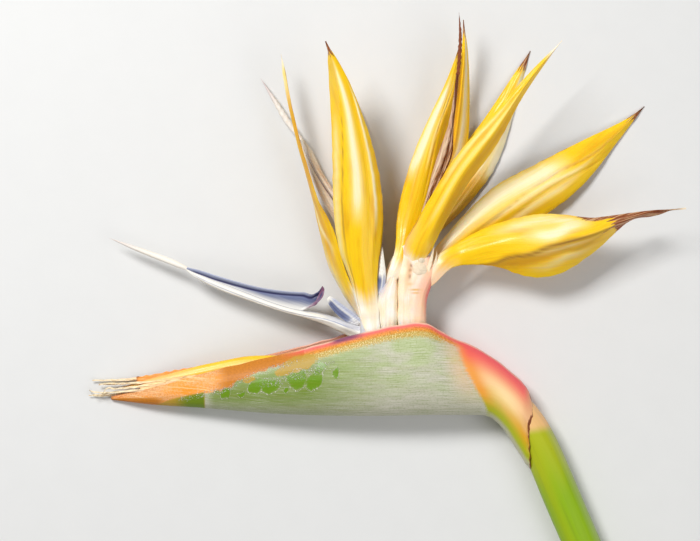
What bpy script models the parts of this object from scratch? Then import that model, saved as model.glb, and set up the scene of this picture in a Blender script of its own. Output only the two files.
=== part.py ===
"""Bird of paradise flower with yellow sepals, cut with a length of stem and laid on its side.

Every number in the tables is in millimetres. The flower is drawn flat in the XY plane, with the crown,
where the flowers leave the spathe, close to x = 0, y = 0. Z is the height above the table. At the end the
whole flower is moved so that the origin lies under the middle of its bounding box, on the table.

Each piece is a loft: rows of a table give a few stations, a smooth spline through them gives the rings,
and the rings are skinned into one closed body.
"""

import math

import bmesh
import bpy
import numpy as np
from mathutils import Vector

MM = 0.001
UP = np.array((0.0, 0.0, 1.0))

# Driving dimensions
SEPAL_THICKNESS = 1.7
BRACT_THICKNESS = 0.5
TIP_THICKNESS = 0.5
THICKENING = 0.5  # how fast a sepal thickens as it widens from its tip

# Points round a section, and the angle above which an edge stays sharp
STEM_SIDES = 18
TUBE_SIDES = 12
STYLE_SIDES = 8
FILAMENT_SIDES = 6
SEPAL_POINTS = 7
SPATHE_POINTS = 15
SHARP_ANGLE = math.radians(50)

# Limits that keep the spathe's sections sound
WIDEST_OPENING = 0.95  # of the half thickness
LEAST_SLANT = 0.3

# Stem: x, y, z of the axis, then the radius across and the radius up.
STEM = (
    (97.6, -155.0, 6.7, 6.7, 6.7),
    (82.4, -117.5, 6.8, 6.8, 6.8),
    (67.0, -81.0, 6.9, 6.9, 6.9),
    (56.6, -56.5, 7.3, 6.8, 6.8),
    (50.6, -43.0, 7.9, 6.5, 6.5),
    (45.2, -34.2, 8.4, 6.1, 6.2),
    (37.5, -27.6, 9.0, 6.0, 6.2),
    (26.0, -24.6, 10.0, 5.6, 5.8),
    (12.0, -24.2, 11.0, 4.8, 5.0),
    (-2.0, -24.2, 11.2, 3.8, 4.0),
    (-10.0, -24.3, 11.0, 2.9, 3.0),
    (-13.4, -24.0, 11.0, 2.0, 2.1),
)

# Spathe: margin x, y; keel x, y; half thickness; half gap between the margins; wall.
SPATHE = (
    (-107.8, -28.1, -108.3, -29.1, 0.9, 0.4, 0.25),
    (-103.0, -26.9, -103.6, -29.6, 1.9, 0.9, 0.4),
    (-95.5, -25.4, -96.0, -30.6, 3.2, 1.6, 0.6),
    (-88.0, -23.6, -88.0, -31.3, 4.3, 2.5, 0.7),
    (-80.0, -21.0, -80.0, -31.6, 5.2, 2.9, 0.8),
    (-70.0, -18.3, -70.0, -32.2, 6.3, 3.1, 1.0),
    (-58.0, -15.2, -57.0, -33.4, 7.5, 3.2, 1.2),
    (-45.0, -12.2, -42.0, -34.3, 8.9, 3.2, 1.4),
    (-31.0, -8.8, -27.0, -34.7, 10.1, 3.9, 1.5),
    (-19.7, -5.1, -16.0, -34.8, 10.9, 5.2, 1.5),
    (-8.0, -2.4, -5.0, -34.7, 11.4, 6.0, 1.5),
    (3.5, -0.2, 5.0, -34.5, 11.6, 6.3, 1.5),
    (10.5, -0.6, 15.0, -34.4, 11.3, 5.6, 1.4),
    (17.5, -4.9, 23.0, -34.4, 10.7, 2.6, 1.3),
    (25.5, -8.2, 28.6, -34.5, 10.0, 0.8, 1.2),
    (33.2, -12.2, 32.4, -34.9, 9.3, 0.3, 1.1),
    (40.6, -17.9, 36.2, -37.4, 8.7, 0.2, 1.0),
    (45.3, -22.3, 39.9, -41.8, 8.4, 0.2, 0.9),
    (48.0, -25.3, 43.6, -48.2, 8.2, 0.2, 0.8),
    (49.6, -27.6, 48.2, -57.6, 8.0, 0.2, 0.7),
)

# Tubes and buds: x, y, z of the axis, then the radius across (in the XY plane) and the radius up.
BUD = (
    (-13.9, -23.4, 10.9, 1.9, 2.0),
    (-30.0, -18.8, 10.0, 3.6, 3.0),
    (-45.0, -16.6, 8.9, 4.2, 2.8),
    (-60.0, -17.2, 7.4, 3.8, 2.6),
    (-74.0, -19.6, 5.9, 3.2, 2.1),
    (-88.0, -22.2, 4.3, 2.1, 1.4),
    (-98.0, -23.8, 3.2, 1.1, 0.7),
    (-104.0, -24.6, 2.6, 0.0, 0.0),
)

FLOWER_1_BASE = (
    (-8.4, -18.9, 11.3, 2.6, 3.4),
    (-10.8, -10.0, 11.4, 3.2, 4.8),
    (-12.2, -2.0, 11.5, 3.4, 5.0),
    (-12.6, 2.6, 11.5, 3.2, 4.9),
)
FLOWER_2_BASE = (
    (-0.6, -18.6, 11.3, 2.6, 3.4),
    (-3.8, -10.0, 11.4, 3.1, 4.8),
    (-4.8, 0.0, 11.5, 3.3, 5.0),
    (-4.5, 10.0, 11.5, 3.2, 4.7),
    (-3.0, 18.4, 11.4, 2.9, 4.2),
)
FLOWER_3_BASE = (
    (9.2, -18.2, 11.3, 2.8, 3.6),
    (6.4, -10.0, 11.4, 4.2, 4.9),
    (4.6, -1.0, 11.6, 5.2, 5.2),
    (5.0, 8.0, 11.8, 5.2, 5.3),
    (6.3, 13.6, 12.0, 5.9, 5.2),
    (8.4, 18.4, 12.2, 6.6, 5.0),
)

ARROW_1 = (
    (-16.3, -3.4, 11.6, 1.7, 2.2),
    (-22.3, -1.7, 12.0, 2.3, 2.4),
    (-29.0, 0.8, 12.4, 2.8, 2.4),
    (-31.2, 4.4, 12.5, 5.8, 2.9),
    (-35.0, 5.6, 12.5, 5.6, 3.2),
    (-43.0, 7.2, 12.3, 4.5, 3.0),
    (-53.0, 9.8, 11.8, 3.4, 2.5),
    (-63.5, 13.1, 11.0, 2.6, 2.0),
    (-73.5, 17.1, 10.2, 1.9, 1.5),
    (-79.3, 19.6, 9.8, 0.9, 0.9),
)
STYLE_1 = (
    (-79.8, 20.1, 9.7, 0.8, 0.8),
    (-84.0, 21.9, 9.3, 1.2, 1.1),
    (-90.0, 24.2, 8.8, 1.1, 1.0),
    (-99.0, 27.6, 7.9, 0.8, 0.8),
    (-108.0, 31.1, 7.0, 0.0, 0.0),
)
NECTARY_1 = (
    (-17.0, 1.2, 12.6, 1.7, 1.9),
    (-20.2, 3.9, 13.2, 2.0, 2.2),
    (-23.4, 6.9, 13.8, 1.8, 1.8),
    (-26.0, 9.6, 14.4, 0.0, 0.0),
)

ARROW_2 = (
    (-7.4, 16.4, 9.0, 1.3, 1.2),
    (-8.3, 19.2, 6.6, 1.5, 1.3),
    (-11.0, 23.2, 4.8, 1.8, 1.5),
    (-17.0, 29.5, 4.2, 2.2, 1.7),
    (-23.5, 40.0, 3.4, 2.6, 1.9),
    (-28.5, 50.5, 3.4, 2.6, 1.9),
    (-33.0, 60.0, 3.6, 2.2, 1.7),
    (-35.6, 65.6, 3.8, 1.4, 1.2),
    (-36.6, 67.8, 3.9, 0.8, 0.8),
)
STYLE_2 = (
    (-37.1, 68.5, 3.8, 0.7, 0.7),
    (-40.5, 72.6, 3.5, 1.1, 1.0),
    (-46.0, 81.4, 2.6, 0.9, 0.8),
    (-51.8, 90.7, 1.6, 0.0, 0.0),
)
NECTARY_2 = (
    (-7.8, 10.3, 15.1, 1.1, 0.9),
    (-7.2, 14.0, 15.8, 1.4, 1.0),
    (-6.7, 20.0, 16.6, 1.3, 1.0),
    (-6.6, 27.6, 17.0, 0.0, 0.0),
)

ARROW_3 = (
    (7.3, 19.8, 12.6, 1.5, 0.9),
    (7.5, 25.0, 12.8, 1.8, 1.0),
    (8.6, 35.0, 13.6, 2.2, 1.2),
    (11.0, 48.0, 15.0, 2.6, 1.5),
    (14.6, 59.0, 16.2, 2.7, 1.5),
    (17.9, 72.0, 17.4, 2.1, 1.3),
    (20.2, 84.0, 18.4, 1.1, 1.0),
    (21.1, 91.0, 19.0, 0.7, 0.7),
)
STYLE_3 = (
    (21.2, 91.7, 19.0, 0.6, 0.6),
    (21.8, 98.0, 19.2, 0.6, 0.5),
    (22.1, 106.0, 19.2, 0.5, 0.5),
    (21.6, 114.0, 19.0, 0.0, 0.0),
)
STUB = (
    (7.3, 17.4, 18.3, 2.1, 2.1),
    (7.2, 18.1, 19.6, 2.6, 2.5),
    (7.1, 18.7, 20.9, 2.4, 2.3),
    (7.0, 19.1, 21.9, 1.3, 1.2),
)
FILAMENTS = (
    (
        (10.3, 18.4, 15.8, 0.7, 0.6),
        (11.3, 22.6, 16.8, 0.6, 0.5),
        (12.6, 28.4, 18.0, 0.0, 0.0),
    ),
    (
        (12.0, 17.7, 15.4, 0.6, 0.6),
        (13.0, 21.8, 16.2, 0.5, 0.5),
        (13.6, 26.8, 17.4, 0.0, 0.0),
    ),
)

# Sepals and bracts: x, y, z of the chord's middle, half width, depth of the arch, roll in degrees.
# A positive arch bulges upward, and a positive roll lifts the side to the right of the growing direction.
FLOWER_1_SEPAL_MEDIAN = (
    (-14.7, 3.2, 11.4, 1.6, 0.3, 70.0),
    (-18.9, 11.5, 10.8, 4.4, 1.0, 68.0),
    (-23.9, 23.5, 10.6, 6.2, 1.6, 66.0),
    (-27.6, 37.0, 11.4, 5.8, 1.6, 68.0),
    (-32.6, 53.5, 12.6, 4.2, 1.2, 72.0),
    (-37.9, 71.0, 13.4, 2.6, 0.7, 76.0),
    (-41.5, 86.0, 13.6, 1.6, 0.3, 74.0),
    (-44.0, 99.0, 13.4, 0.0, 0.0, 60.0),
)
FLOWER_1_SEPAL_NEAR = (
    (-11.9, 3.2, 14.9, 2.6, 0.4, 0.0),
    (-13.2, 15.0, 17.4, 4.6, 1.2, -4.0),
    (-14.8, 27.0, 19.8, 7.6, 2.4, -8.0),
    (-15.3, 42.0, 22.4, 9.0, 3.4, -8.0),
    (-16.7, 59.0, 25.4, 7.9, 3.2, -8.0),
    (-19.6, 76.0, 28.6, 5.4, 2.2, -6.0),
    (-23.6, 92.0, 31.4, 2.6, 0.9, 0.0),
    (-27.4, 102.5, 33.0, 0.0, 0.0, 0.0),
)
FLOWER_1_SEPAL_FAR = (
    (-12.1, 3.0, 8.2, 2.4, 0.3, 0.0),
    (-12.9, 15.0, 8.6, 3.4, 0.8, 0.0),
    (-12.8, 28.0, 8.2, 6.0, 1.2, 4.0),
    (-13.2, 44.0, 7.2, 6.8, 1.6, 4.0),
    (-15.0, 62.0, 5.2, 5.6, 1.4, 4.0),
    (-18.6, 80.0, 3.0, 3.2, 0.8, 0.0),
    (-22.4, 95.0, 0.0, 0.0, 0.0, 0.0),
)
FLOWER_2_SEPAL_LEFT = (
    (-3.1, 19.2, 13.8, 2.2, 0.3, 0.0),
    (0.4, 27.0, 13.0, 2.6, 0.6, 0.0),
    (3.2, 38.0, 11.8, 4.5, 1.0, 4.0),
    (6.6, 50.0, 11.2, 5.2, 1.6, 6.0),
    (10.2, 62.0, 11.0, 5.0, 1.8, 6.0),
    (14.6, 75.0, 11.8, 3.8, 1.4, 4.0),
    (18.8, 88.0, 13.4, 2.0, 0.7, 0.0),
    (21.6, 101.0, 15.4, 0.0, 0.0, 0.0),
)
FLOWER_2_SEPAL_RIGHT = (
    (-2.6, 19.2, 11.0, 1.8, 0.2, 0.0),
    (2.2, 27.6, 9.4, 2.4, 0.5, 0.0),
    (9.4, 40.0, 6.8, 3.6, 1.0, 8.0),
    (16.4, 54.0, 6.8, 4.2, 1.4, 12.0),
    (20.4, 64.0, 7.2, 3.9, 1.6, 14.0),
    (22.4, 77.0, 8.6, 2.8, 1.2, 14.0),
    (23.4, 90.0, 10.4, 1.9, 0.8, 10.0),
    (24.0, 101.0, 12.0, 1.1, 0.4, 0.0),
    (23.4, 111.7, 13.4, 0.0, 0.0, 0.0),
)
FLOWER_2_SEPAL_FAR = (
    (-2.4, 19.2, 8.7, 1.4, 0.2, 0.0),
    (0.6, 23.4, 7.6, 1.9, 0.3, 0.0),
    (5.6, 29.0, 5.6, 2.7, 0.5, 0.0),
    (13.0, 37.4, 3.8, 4.4, 0.9, 0.0),
    (21.4, 48.6, 2.6, 6.4, 1.5, 0.0),
    (30.2, 62.4, 2.2, 7.2, 1.9, 0.0),
    (34.2, 69.4, 2.0, 5.9, 1.8, 0.0),
    (38.8, 79.0, 1.6, 4.1, 1.3, 0.0),
    (43.4, 89.4, 1.0, 2.3, 0.6, 0.0),
    (48.8, 101.0, 0.0, 0.0, 0.0, 0.0),
)
FLOWER_3_SEPAL_TOP = (
    (4.2, 20.9, 15.2, 2.4, 0.3, 0.0),
    (8.6, 31.6, 17.4, 4.8, 1.2, -4.0),
    (14.6, 42.6, 19.6, 4.8, 1.8, -8.0),
    (22.0, 54.8, 22.2, 4.9, 2.0, -8.0),
    (28.4, 63.0, 24.0, 5.0, 2.0, -8.0),
    (34.6, 71.2, 25.6, 4.0, 1.6, -6.0),
    (40.2, 79.6, 27.2, 2.6, 1.0, -4.0),
    (47.0, 89.0, 28.8, 1.6, 0.5, 0.0),
    (58.8, 102.9, 31.0, 0.0, 0.0, 0.0),
)
FLOWER_3_SEPAL_MIDDLE = (
    (11.2, 17.8, 10.0, 1.9, 0.2, 0.0),
    (13.6, 22.4, 9.8, 2.7, 0.4, 0.0),
    (19.4, 28.4, 9.2, 4.2, 0.8, 0.0),
    (29.4, 35.6, 8.0, 7.0, 1.6, 4.0),
    (40.6, 43.0, 6.8, 9.2, 2.4, 6.0),
    (52.6, 49.6, 5.4, 9.0, 2.6, 6.0),
    (64.8, 57.8, 3.8, 7.4, 2.2, 5.0),
    (76.0, 66.8, 2.2, 4.2, 1.1, 3.0),
    (84.8, 73.9, 1.0, 1.5, 0.3, 0.0),
    (91.4, 80.3, 0.0, 0.0, 0.0, 0.0),
)
FLOWER_3_SEPAL_LOW = (
    (12.5, 17.5, 13.0, 2.5, 0.3, 0.0),
    (15.6, 21.2, 13.4, 3.1, 0.6, 2.0),
    (20.6, 24.2, 14.0, 3.9, 1.0, 4.0),
    (28.4, 27.0, 15.2, 6.0, 1.8, 6.0),
    (37.0, 28.4, 16.4, 8.4, 2.8, 8.0),
    (46.0, 28.4, 17.6, 10.9, 3.6, 10.0),
    (54.5, 28.9, 18.6, 11.4, 3.8, 10.0),
    (63.0, 31.0, 19.4, 9.0, 3.2, 8.0),
    (71.0, 32.9, 19.8, 5.8, 2.2, 5.0),
    (79.0, 36.6, 20.0, 2.9, 1.2, 0.0),
    (91.0, 40.2, 20.4, 0.9, 0.3, 0.0),
    (105.0, 41.8, 21.2, 0.0, 0.0, 0.0),
)
BRACT_NEAR = (
    (-66.0, -20.6, 9.4, 1.6, 0.1, 0.0),
    (-76.0, -21.6, 8.0, 2.0, 0.1, 0.0),
    (-88.0, -23.2, 6.1, 1.8, 0.1, 0.0),
    (-98.0, -24.6, 4.7, 1.0, 0.1, 0.0),
    (-106.0, -25.6, 3.6, 0.8, 0.0, 0.0),
    (-112.6, -25.8, 3.0, 0.0, 0.0, 0.0),
)
BRACT_FAR = (
    (-60.0, -17.6, 4.2, 1.6, 0.1, 0.0),
    (-72.0, -18.6, 3.3, 2.2, 0.1, 0.0),
    (-84.0, -20.4, 2.4, 2.2, 0.1, 0.0),
    (-95.0, -21.8, 1.8, 1.5, 0.1, 0.0),
    (-104.0, -22.0, 1.6, 0.8, 0.0, 0.0),
    (-114.6, -21.6, 1.8, 0.0, 0.0, 0.0),
)
BRACT_TIP = (
    (-94.0, -27.4, 3.3, 0.9, 0.0, 0.0),
    (-101.0, -27.2, 2.2, 0.7, 0.0, 0.0),
    (-105.0, -26.7, 1.7, 0.6, 0.0, 0.0),
    (-110.0, -26.7, 1.6, 0.5, 0.0, 0.0),
    (-116.2, -27.2, 2.0, 0.0, 0.0, 0.0),
)

# Colours, roughness
GREEN_STEM = ("stem_green", (0.30, 0.46, 0.05), 0.5)
SPATHE_SKIN = ("spathe_glaucous", (0.42, 0.50, 0.30), 0.55)
SEPAL_YELLOW = ("sepal_yellow", (0.88, 0.58, 0.02), 0.4)
BASE_CREAM = ("flower_base_cream", (0.85, 0.72, 0.50), 0.45)
ARROW_BLUE = ("arrow_blue", (0.22, 0.26, 0.55), 0.45)
ARROW_AGED = ("arrow_aged", (0.72, 0.58, 0.52), 0.6)
WITHERED = ("withered_brown", (0.30, 0.14, 0.06), 0.8)
STYLE_WHITE = ("style_white", (0.86, 0.82, 0.72), 0.5)
BRACT_PAPER = ("bract_papery", (0.78, 0.55, 0.22), 0.7)


def material(look):
    """The material of that name, made on its first use."""
    name, colour, roughness = look
    found = bpy.data.materials.get(name)
    if found:
        return found
    made = bpy.data.materials.new(name)
    made.use_nodes = True
    shader = made.node_tree.nodes["Principled BSDF"]
    shader.inputs["Base Color"].default_value = (*colour, 1.0)
    shader.inputs["Roughness"].default_value = roughness
    shader.inputs["Metallic"].default_value = 0.0
    return made


def spline(table, count, axes=3):
    """Rows spaced evenly along a smooth curve through the rows of a table; `axes` columns measure it."""
    rows = np.array(table, dtype=float)
    steps = np.linalg.norm(np.diff(rows[:, :axes], axis=0), axis=1)
    along = np.concatenate(([0.0], np.cumsum(steps)))
    slopes = np.diff(rows, axis=0) / steps[:, None]
    tangents = np.empty_like(rows)
    tangents[0] = slopes[0]
    tangents[-1] = slopes[-1]
    before, after = steps[:-1, None], steps[1:, None]
    tangents[1:-1] = (slopes[:-1] * after + slopes[1:] * before) / (before + after)
    result = []
    for place in np.linspace(0.0, along[-1], count):
        k = min(int(np.searchsorted(along, place, side="right")) - 1, len(steps) - 1)
        h = steps[k]
        t = (place - along[k]) / h
        result.append(
            (2 * t**3 - 3 * t**2 + 1) * rows[k]
            + (t**3 - 2 * t**2 + t) * h * tangents[k]
            + (3 * t**2 - 2 * t**3) * rows[k + 1]
            + (t**3 - t**2) * h * tangents[k + 1]
        )
    return np.array(result)


def cross_axes(points, rolls):
    """For each point of an axis, the direction across it and the direction out of it, after its roll."""
    tangents = np.gradient(points, axis=0)
    tangents /= np.linalg.norm(tangents, axis=1)[:, None]
    across = np.cross(tangents, UP)
    across /= np.linalg.norm(across, axis=1)[:, None]
    out = np.cross(across, tangents)
    turn = np.radians(rolls)[:, None]
    return across * np.cos(turn) + out * np.sin(turn), out * np.cos(turn) - across * np.sin(turn)


def skin(name, rings, look, tip=None):
    """One closed body through the rings; it ends in the point `tip`, or in a flat cap."""
    mesh = bmesh.new()
    # No piece goes below the table: what would is pressed flat on it.
    loops = [[mesh.verts.new(Vector((x, y, max(z, 0.0))) * MM) for x, y, z in ring] for ring in rings]
    size = len(loops[0])
    for low, high in zip(loops, loops[1:]):
        for i in range(size):
            j = (i + 1) % size
            mesh.faces.new((low[i], low[j], high[j], high[i]))
    mesh.faces.new(tuple(reversed(loops[0])))
    if tip is None:
        mesh.faces.new(tuple(loops[-1]))
    else:
        point = mesh.verts.new(Vector((tip[0], tip[1], max(tip[2], 0.0))) * MM)
        for i in range(size):
            mesh.faces.new((loops[-1][i], loops[-1][(i + 1) % size], point))
    return finish(name, mesh, look)


def finish(name, mesh, look):
    """Turn a bmesh into a named, smooth-shaded object with faces that point out."""
    bmesh.ops.triangulate(mesh, faces=mesh.faces[:])
    bmesh.ops.recalc_face_normals(mesh, faces=mesh.faces[:])
    data = bpy.data.meshes.new(name)
    mesh.to_mesh(data)
    mesh.free()
    data.materials.append(material(look))
    data.shade_smooth()
    data.set_sharp_from_angle(angle=SHARP_ANGLE)
    made = bpy.data.objects.new(name, data)
    bpy.context.scene.collection.objects.link(made)
    return made


def tube(name, table, look, stations, sides=TUBE_SIDES):
    """A round or oval rod along an axis; a last row with no radius makes its tip a point."""
    rows = spline(table, stations)
    pointed = table[-1][3] == 0.0
    across, out = cross_axes(rows[:, :3], np.zeros(len(rows)))
    rings = []
    for row, side, lift in zip(rows, across, out):
        turn = np.linspace(0.0, 2 * math.pi, sides, endpoint=False)[:, None]
        rings.append(row[:3] + side * row[3] * np.cos(turn) + lift * row[4] * np.sin(turn))
    if pointed:
        return skin(name, rings[:-1], look, tip=rows[-1][:3])
    return skin(name, rings, look)


def blade(name, table, look, stations, thickness=SEPAL_THICKNESS):
    """A sepal or bract: an arched section with thin edges, growing to a point."""
    rows = spline(table, stations)
    across, out = cross_axes(rows[:, :3], rows[:, 5])
    u = np.linspace(-1.0, 1.0, SEPAL_POINTS)
    arch = (1.0 - u**2)[:, None]
    bulge = np.sqrt(arch)
    rings = []
    for row, side, lift in zip(rows[:-1], across, out):
        thick = min(thickness, TIP_THICKNESS + row[3] * THICKENING)
        middle = row[:3] + side * row[3] * u[:, None] + lift * row[4] * arch
        above = middle + lift * bulge * thick / 2
        below = middle - lift * bulge * thick / 2
        rings.append(np.concatenate((above, below[-2:0:-1])))
    return skin(name, rings, look, tip=rows[-1][:3])


def spathe_section(row):
    """Outline of the folded spathe at a station: the rise from its keel to its margin, and the lift."""
    height = np.linalg.norm(row[0:2] - row[2:4])
    half, gap, wall = row[4:7]
    opening = min(gap + wall, half * WIDEST_OPENING)
    last = math.pi - math.asin(opening / half)
    turn = np.linspace(-last, last, SPATHE_POINTS)
    rise = (1.0 - np.cos(turn)) / (1.0 - math.cos(last))
    return height * rise, -half * np.sin(turn)


def inset(outline, wall):
    """The same outline, moved inward by the wall's thickness."""
    run = np.gradient(outline, axis=0)
    run /= np.linalg.norm(run, axis=1)[:, None]
    return outline + np.stack((-run[:, 1], run[:, 0]), axis=1) * wall


def spathe(name, table, look, stations):
    """The folded spathe: a thin-walled boat, open along its top, that ends as a sheath round the stem."""
    rows = spline(table, stations, axes=4)
    middles = (rows[:, 0:2] + rows[:, 2:4]) / 2
    heading = np.gradient(middles, axis=0)
    heading /= np.linalg.norm(heading, axis=1)[:, None]
    mesh = bmesh.new()
    outer_loops = []
    inner_loops = []
    for row, ahead in zip(rows, heading):
        chord = row[0:2] - row[2:4]
        chord /= np.linalg.norm(chord)
        # A slanting station is longer than the section square to the sheath by this factor.
        slant = max(abs(chord[0] * ahead[1] - chord[1] * ahead[0]), LEAST_SLANT)
        rise, lift = spathe_section(row)
        outer = np.stack((rise * slant, lift), axis=1)
        for outline, loops in ((outer, outer_loops), (inset(outer, row[6]), inner_loops)):
            places = [(*(row[2:4] + chord * p / slant), max(row[4] + q, 0.0)) for p, q in outline]
            loops.append([mesh.verts.new(Vector(place) * MM) for place in places])
    rings = list(zip(outer_loops, inner_loops))
    for (outer, inner), (next_outer, next_inner) in zip(rings, rings[1:]):
        for i in range(SPATHE_POINTS - 1):
            mesh.faces.new((outer[i], outer[i + 1], next_outer[i + 1], next_outer[i]))
            mesh.faces.new((inner[i + 1], inner[i], next_inner[i], next_inner[i + 1]))
        for i in (0, -1):
            mesh.faces.new((outer[i], inner[i], next_inner[i], next_outer[i]))
    for outer, inner in (rings[0], rings[-1]):
        for i in range(SPATHE_POINTS - 1):
            mesh.faces.new((outer[i], outer[i + 1], inner[i + 1], inner[i]))
    return finish(name, mesh, look)


def stem_and_spathe():
    tube("stem", STEM, GREEN_STEM, stations=34, sides=STEM_SIDES)
    spathe("spathe", SPATHE, SPATHE_SKIN, stations=36)


def beak_contents():
    tube("closed_bud", BUD, SEPAL_YELLOW, stations=16)
    blade("bract_near", BRACT_NEAR, BRACT_PAPER, stations=12, thickness=BRACT_THICKNESS)
    blade("bract_far", BRACT_FAR, BRACT_PAPER, stations=12, thickness=BRACT_THICKNESS)
    blade("bract_tip", BRACT_TIP, BRACT_PAPER, stations=8, thickness=BRACT_THICKNESS)


def flower_1():
    tube("flower_1_base", FLOWER_1_BASE, BASE_CREAM, stations=8)
    blade("flower_1_sepal_median", FLOWER_1_SEPAL_MEDIAN, SEPAL_YELLOW, stations=16)
    blade("flower_1_sepal_near", FLOWER_1_SEPAL_NEAR, SEPAL_YELLOW, stations=16)
    blade("flower_1_sepal_far", FLOWER_1_SEPAL_FAR, SEPAL_YELLOW, stations=14)
    tube("flower_1_arrow", ARROW_1, ARROW_BLUE, stations=20)
    tube("flower_1_style", STYLE_1, STYLE_WHITE, stations=8, sides=STYLE_SIDES)
    tube("flower_1_nectary_petal", NECTARY_1, ARROW_BLUE, stations=7)


def flower_2():
    tube("flower_2_base", FLOWER_2_BASE, BASE_CREAM, stations=10)
    blade("flower_2_sepal_left", FLOWER_2_SEPAL_LEFT, SEPAL_YELLOW, stations=16)
    blade("flower_2_sepal_right", FLOWER_2_SEPAL_RIGHT, SEPAL_YELLOW, stations=18)
    blade("flower_2_sepal_far", FLOWER_2_SEPAL_FAR, SEPAL_YELLOW, stations=16)
    tube("flower_2_arrow", ARROW_2, ARROW_AGED, stations=16)
    tube("flower_2_style", STYLE_2, STYLE_WHITE, stations=8, sides=STYLE_SIDES)
    tube("flower_2_nectary_petal", NECTARY_2, ARROW_BLUE, stations=8)


def flower_3():
    tube("flower_3_base", FLOWER_3_BASE, BASE_CREAM, stations=12)
    blade("flower_3_sepal_top", FLOWER_3_SEPAL_TOP, SEPAL_YELLOW, stations=17)
    blade("flower_3_sepal_middle", FLOWER_3_SEPAL_MIDDLE, SEPAL_YELLOW, stations=17)
    blade("flower_3_sepal_low", FLOWER_3_SEPAL_LOW, SEPAL_YELLOW, stations=19)
    tube("flower_3_arrow", ARROW_3, WITHERED, stations=14)
    tube("flower_3_style", STYLE_3, WITHERED, stations=7, sides=STYLE_SIDES)
    tube("flower_3_stub", STUB, STYLE_WHITE, stations=7)
    for number, table in enumerate(FILAMENTS, start=1):
        tube(f"flower_3_filament_{number}", table, WITHERED, stations=6, sides=FILAMENT_SIDES)


def put_origin_under_the_middle():
    """Move every piece so that the origin is under the middle of the whole, on the table."""
    pieces = [piece for piece in bpy.context.scene.objects if piece.type == "MESH"]
    corners = np.array([vertex.co for piece in pieces for vertex in piece.data.vertices])
    low, high = corners.min(axis=0), corners.max(axis=0)
    shift = Vector((-(low[0] + high[0]) / 2, -(low[1] + high[1]) / 2, -low[2]))
    for piece in pieces:
        piece.location = shift


def main():
    for old in list(bpy.data.objects):
        bpy.data.objects.remove(old, do_unlink=True)
    stem_and_spathe()
    beak_contents()
    flower_1()
    flower_2()
    flower_3()
    put_origin_under_the_middle()


main()
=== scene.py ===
"""Bird of paradise flower with yellow sepals, laid on a pale table.

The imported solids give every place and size. Each solid is cut across at a few stations, and the cuts give its
middle line, its width and its arch. A fine surface is then laid along that line, with the folds, veins, dried
tips and torn edges that the living flower has. Lengths are in millimetres until a mesh is made.
"""

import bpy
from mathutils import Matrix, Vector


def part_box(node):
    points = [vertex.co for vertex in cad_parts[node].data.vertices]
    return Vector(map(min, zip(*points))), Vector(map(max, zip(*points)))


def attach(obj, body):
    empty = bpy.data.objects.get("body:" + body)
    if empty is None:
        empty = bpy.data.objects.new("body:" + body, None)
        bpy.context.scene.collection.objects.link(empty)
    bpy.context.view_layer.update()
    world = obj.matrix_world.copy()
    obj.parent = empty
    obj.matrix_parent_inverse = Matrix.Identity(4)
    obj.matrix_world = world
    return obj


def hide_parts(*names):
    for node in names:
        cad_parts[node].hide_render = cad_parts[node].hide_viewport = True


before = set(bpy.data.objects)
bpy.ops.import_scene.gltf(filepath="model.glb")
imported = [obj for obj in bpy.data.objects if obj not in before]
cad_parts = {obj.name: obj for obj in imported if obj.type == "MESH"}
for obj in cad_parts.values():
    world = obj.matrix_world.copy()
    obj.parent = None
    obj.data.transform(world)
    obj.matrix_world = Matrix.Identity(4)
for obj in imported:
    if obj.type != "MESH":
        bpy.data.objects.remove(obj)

import copy
import math

import bpy
import numpy as np
from bpy.props import FloatProperty, FloatVectorProperty, IntProperty, PointerProperty
from mathutils import Vector

bl_info = {
    "name": "Bird of paradise flower",
    "version": (1, 0, 0),
    "blender": (4, 5, 0),
    "location": "3D View > Sidebar > Flower",
    "description": "Builds a bird of paradise flower around its packed solids",
    "category": "Object",
}

MM = 0.001
UP = np.array((0.0, 0.0, 1.0))
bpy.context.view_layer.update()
# Cuts taken across a solid, how often its middle line is read again, how deep its root end is in millimetres,
# and the share of its half width that counts as its core.
READINGS = 22
PASSES = 3
ROOT_DEPTH = 0.6
CORE = 0.35
# Faces that meet at more than this are shaded as an edge.
SHARP_ANGLE = math.radians(62)
# Shares along a blade that change nothing: all of it everywhere, and none of it anywhere.
LEVEL = ((0, 1), (1, 1))
NONE = ((0, 0), (1, 0))
# The thinnest that a blade gets, the slimmest that a thread gets, and how low a blade's upper side may lie.
THINNEST = 0.08
SLIMMEST = 0.05
CLEAR = 0.02
# Where the noise of a blade's underside starts, so that it differs from the upper side's.
UNDERSIDE = 9.0


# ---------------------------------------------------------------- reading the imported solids


def unit(vectors):
    """The same vectors with a length of one."""
    return vectors / np.linalg.norm(vectors, axis=-1, keepdims=True)


def corners_of(node):
    """A solid's triangles, as the places of their corners."""
    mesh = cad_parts[node].data
    mesh.calc_loop_triangles()
    places = np.array([vertex.co for vertex in mesh.vertices]) / MM
    return places[np.array([triangle.vertices for triangle in mesh.loop_triangles])]


def middle_of(node):
    """The middle of a solid's box."""
    low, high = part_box(node)
    return np.array((low + high) / 2) / MM


def cut(corners, place, facing):
    """The points where a plane crosses the edges of a solid's triangles."""
    heights = (corners - place) @ facing
    found = []
    for a, b in ((0, 1), (1, 2), (2, 0)):
        crossed = (heights[:, a] > 0) != (heights[:, b] > 0)
        share = (heights[crossed, a] / (heights[crossed, a] - heights[crossed, b]))[:, None]
        found.append(corners[crossed, a] * (1 - share) + corners[crossed, b] * share)
    return np.concatenate(found)


def joined(t, first, leaving, second, entering):
    """A smooth step from the first value to the second, as t goes from 0 to 1, with both its slopes given."""
    return (
        (2 * t**3 - 3 * t**2 + 1) * first
        + (t**3 - 2 * t**2 + t) * leaving
        + (3 * t**2 - 2 * t**3) * second
        + (t**3 - t**2) * entering
    )


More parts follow.
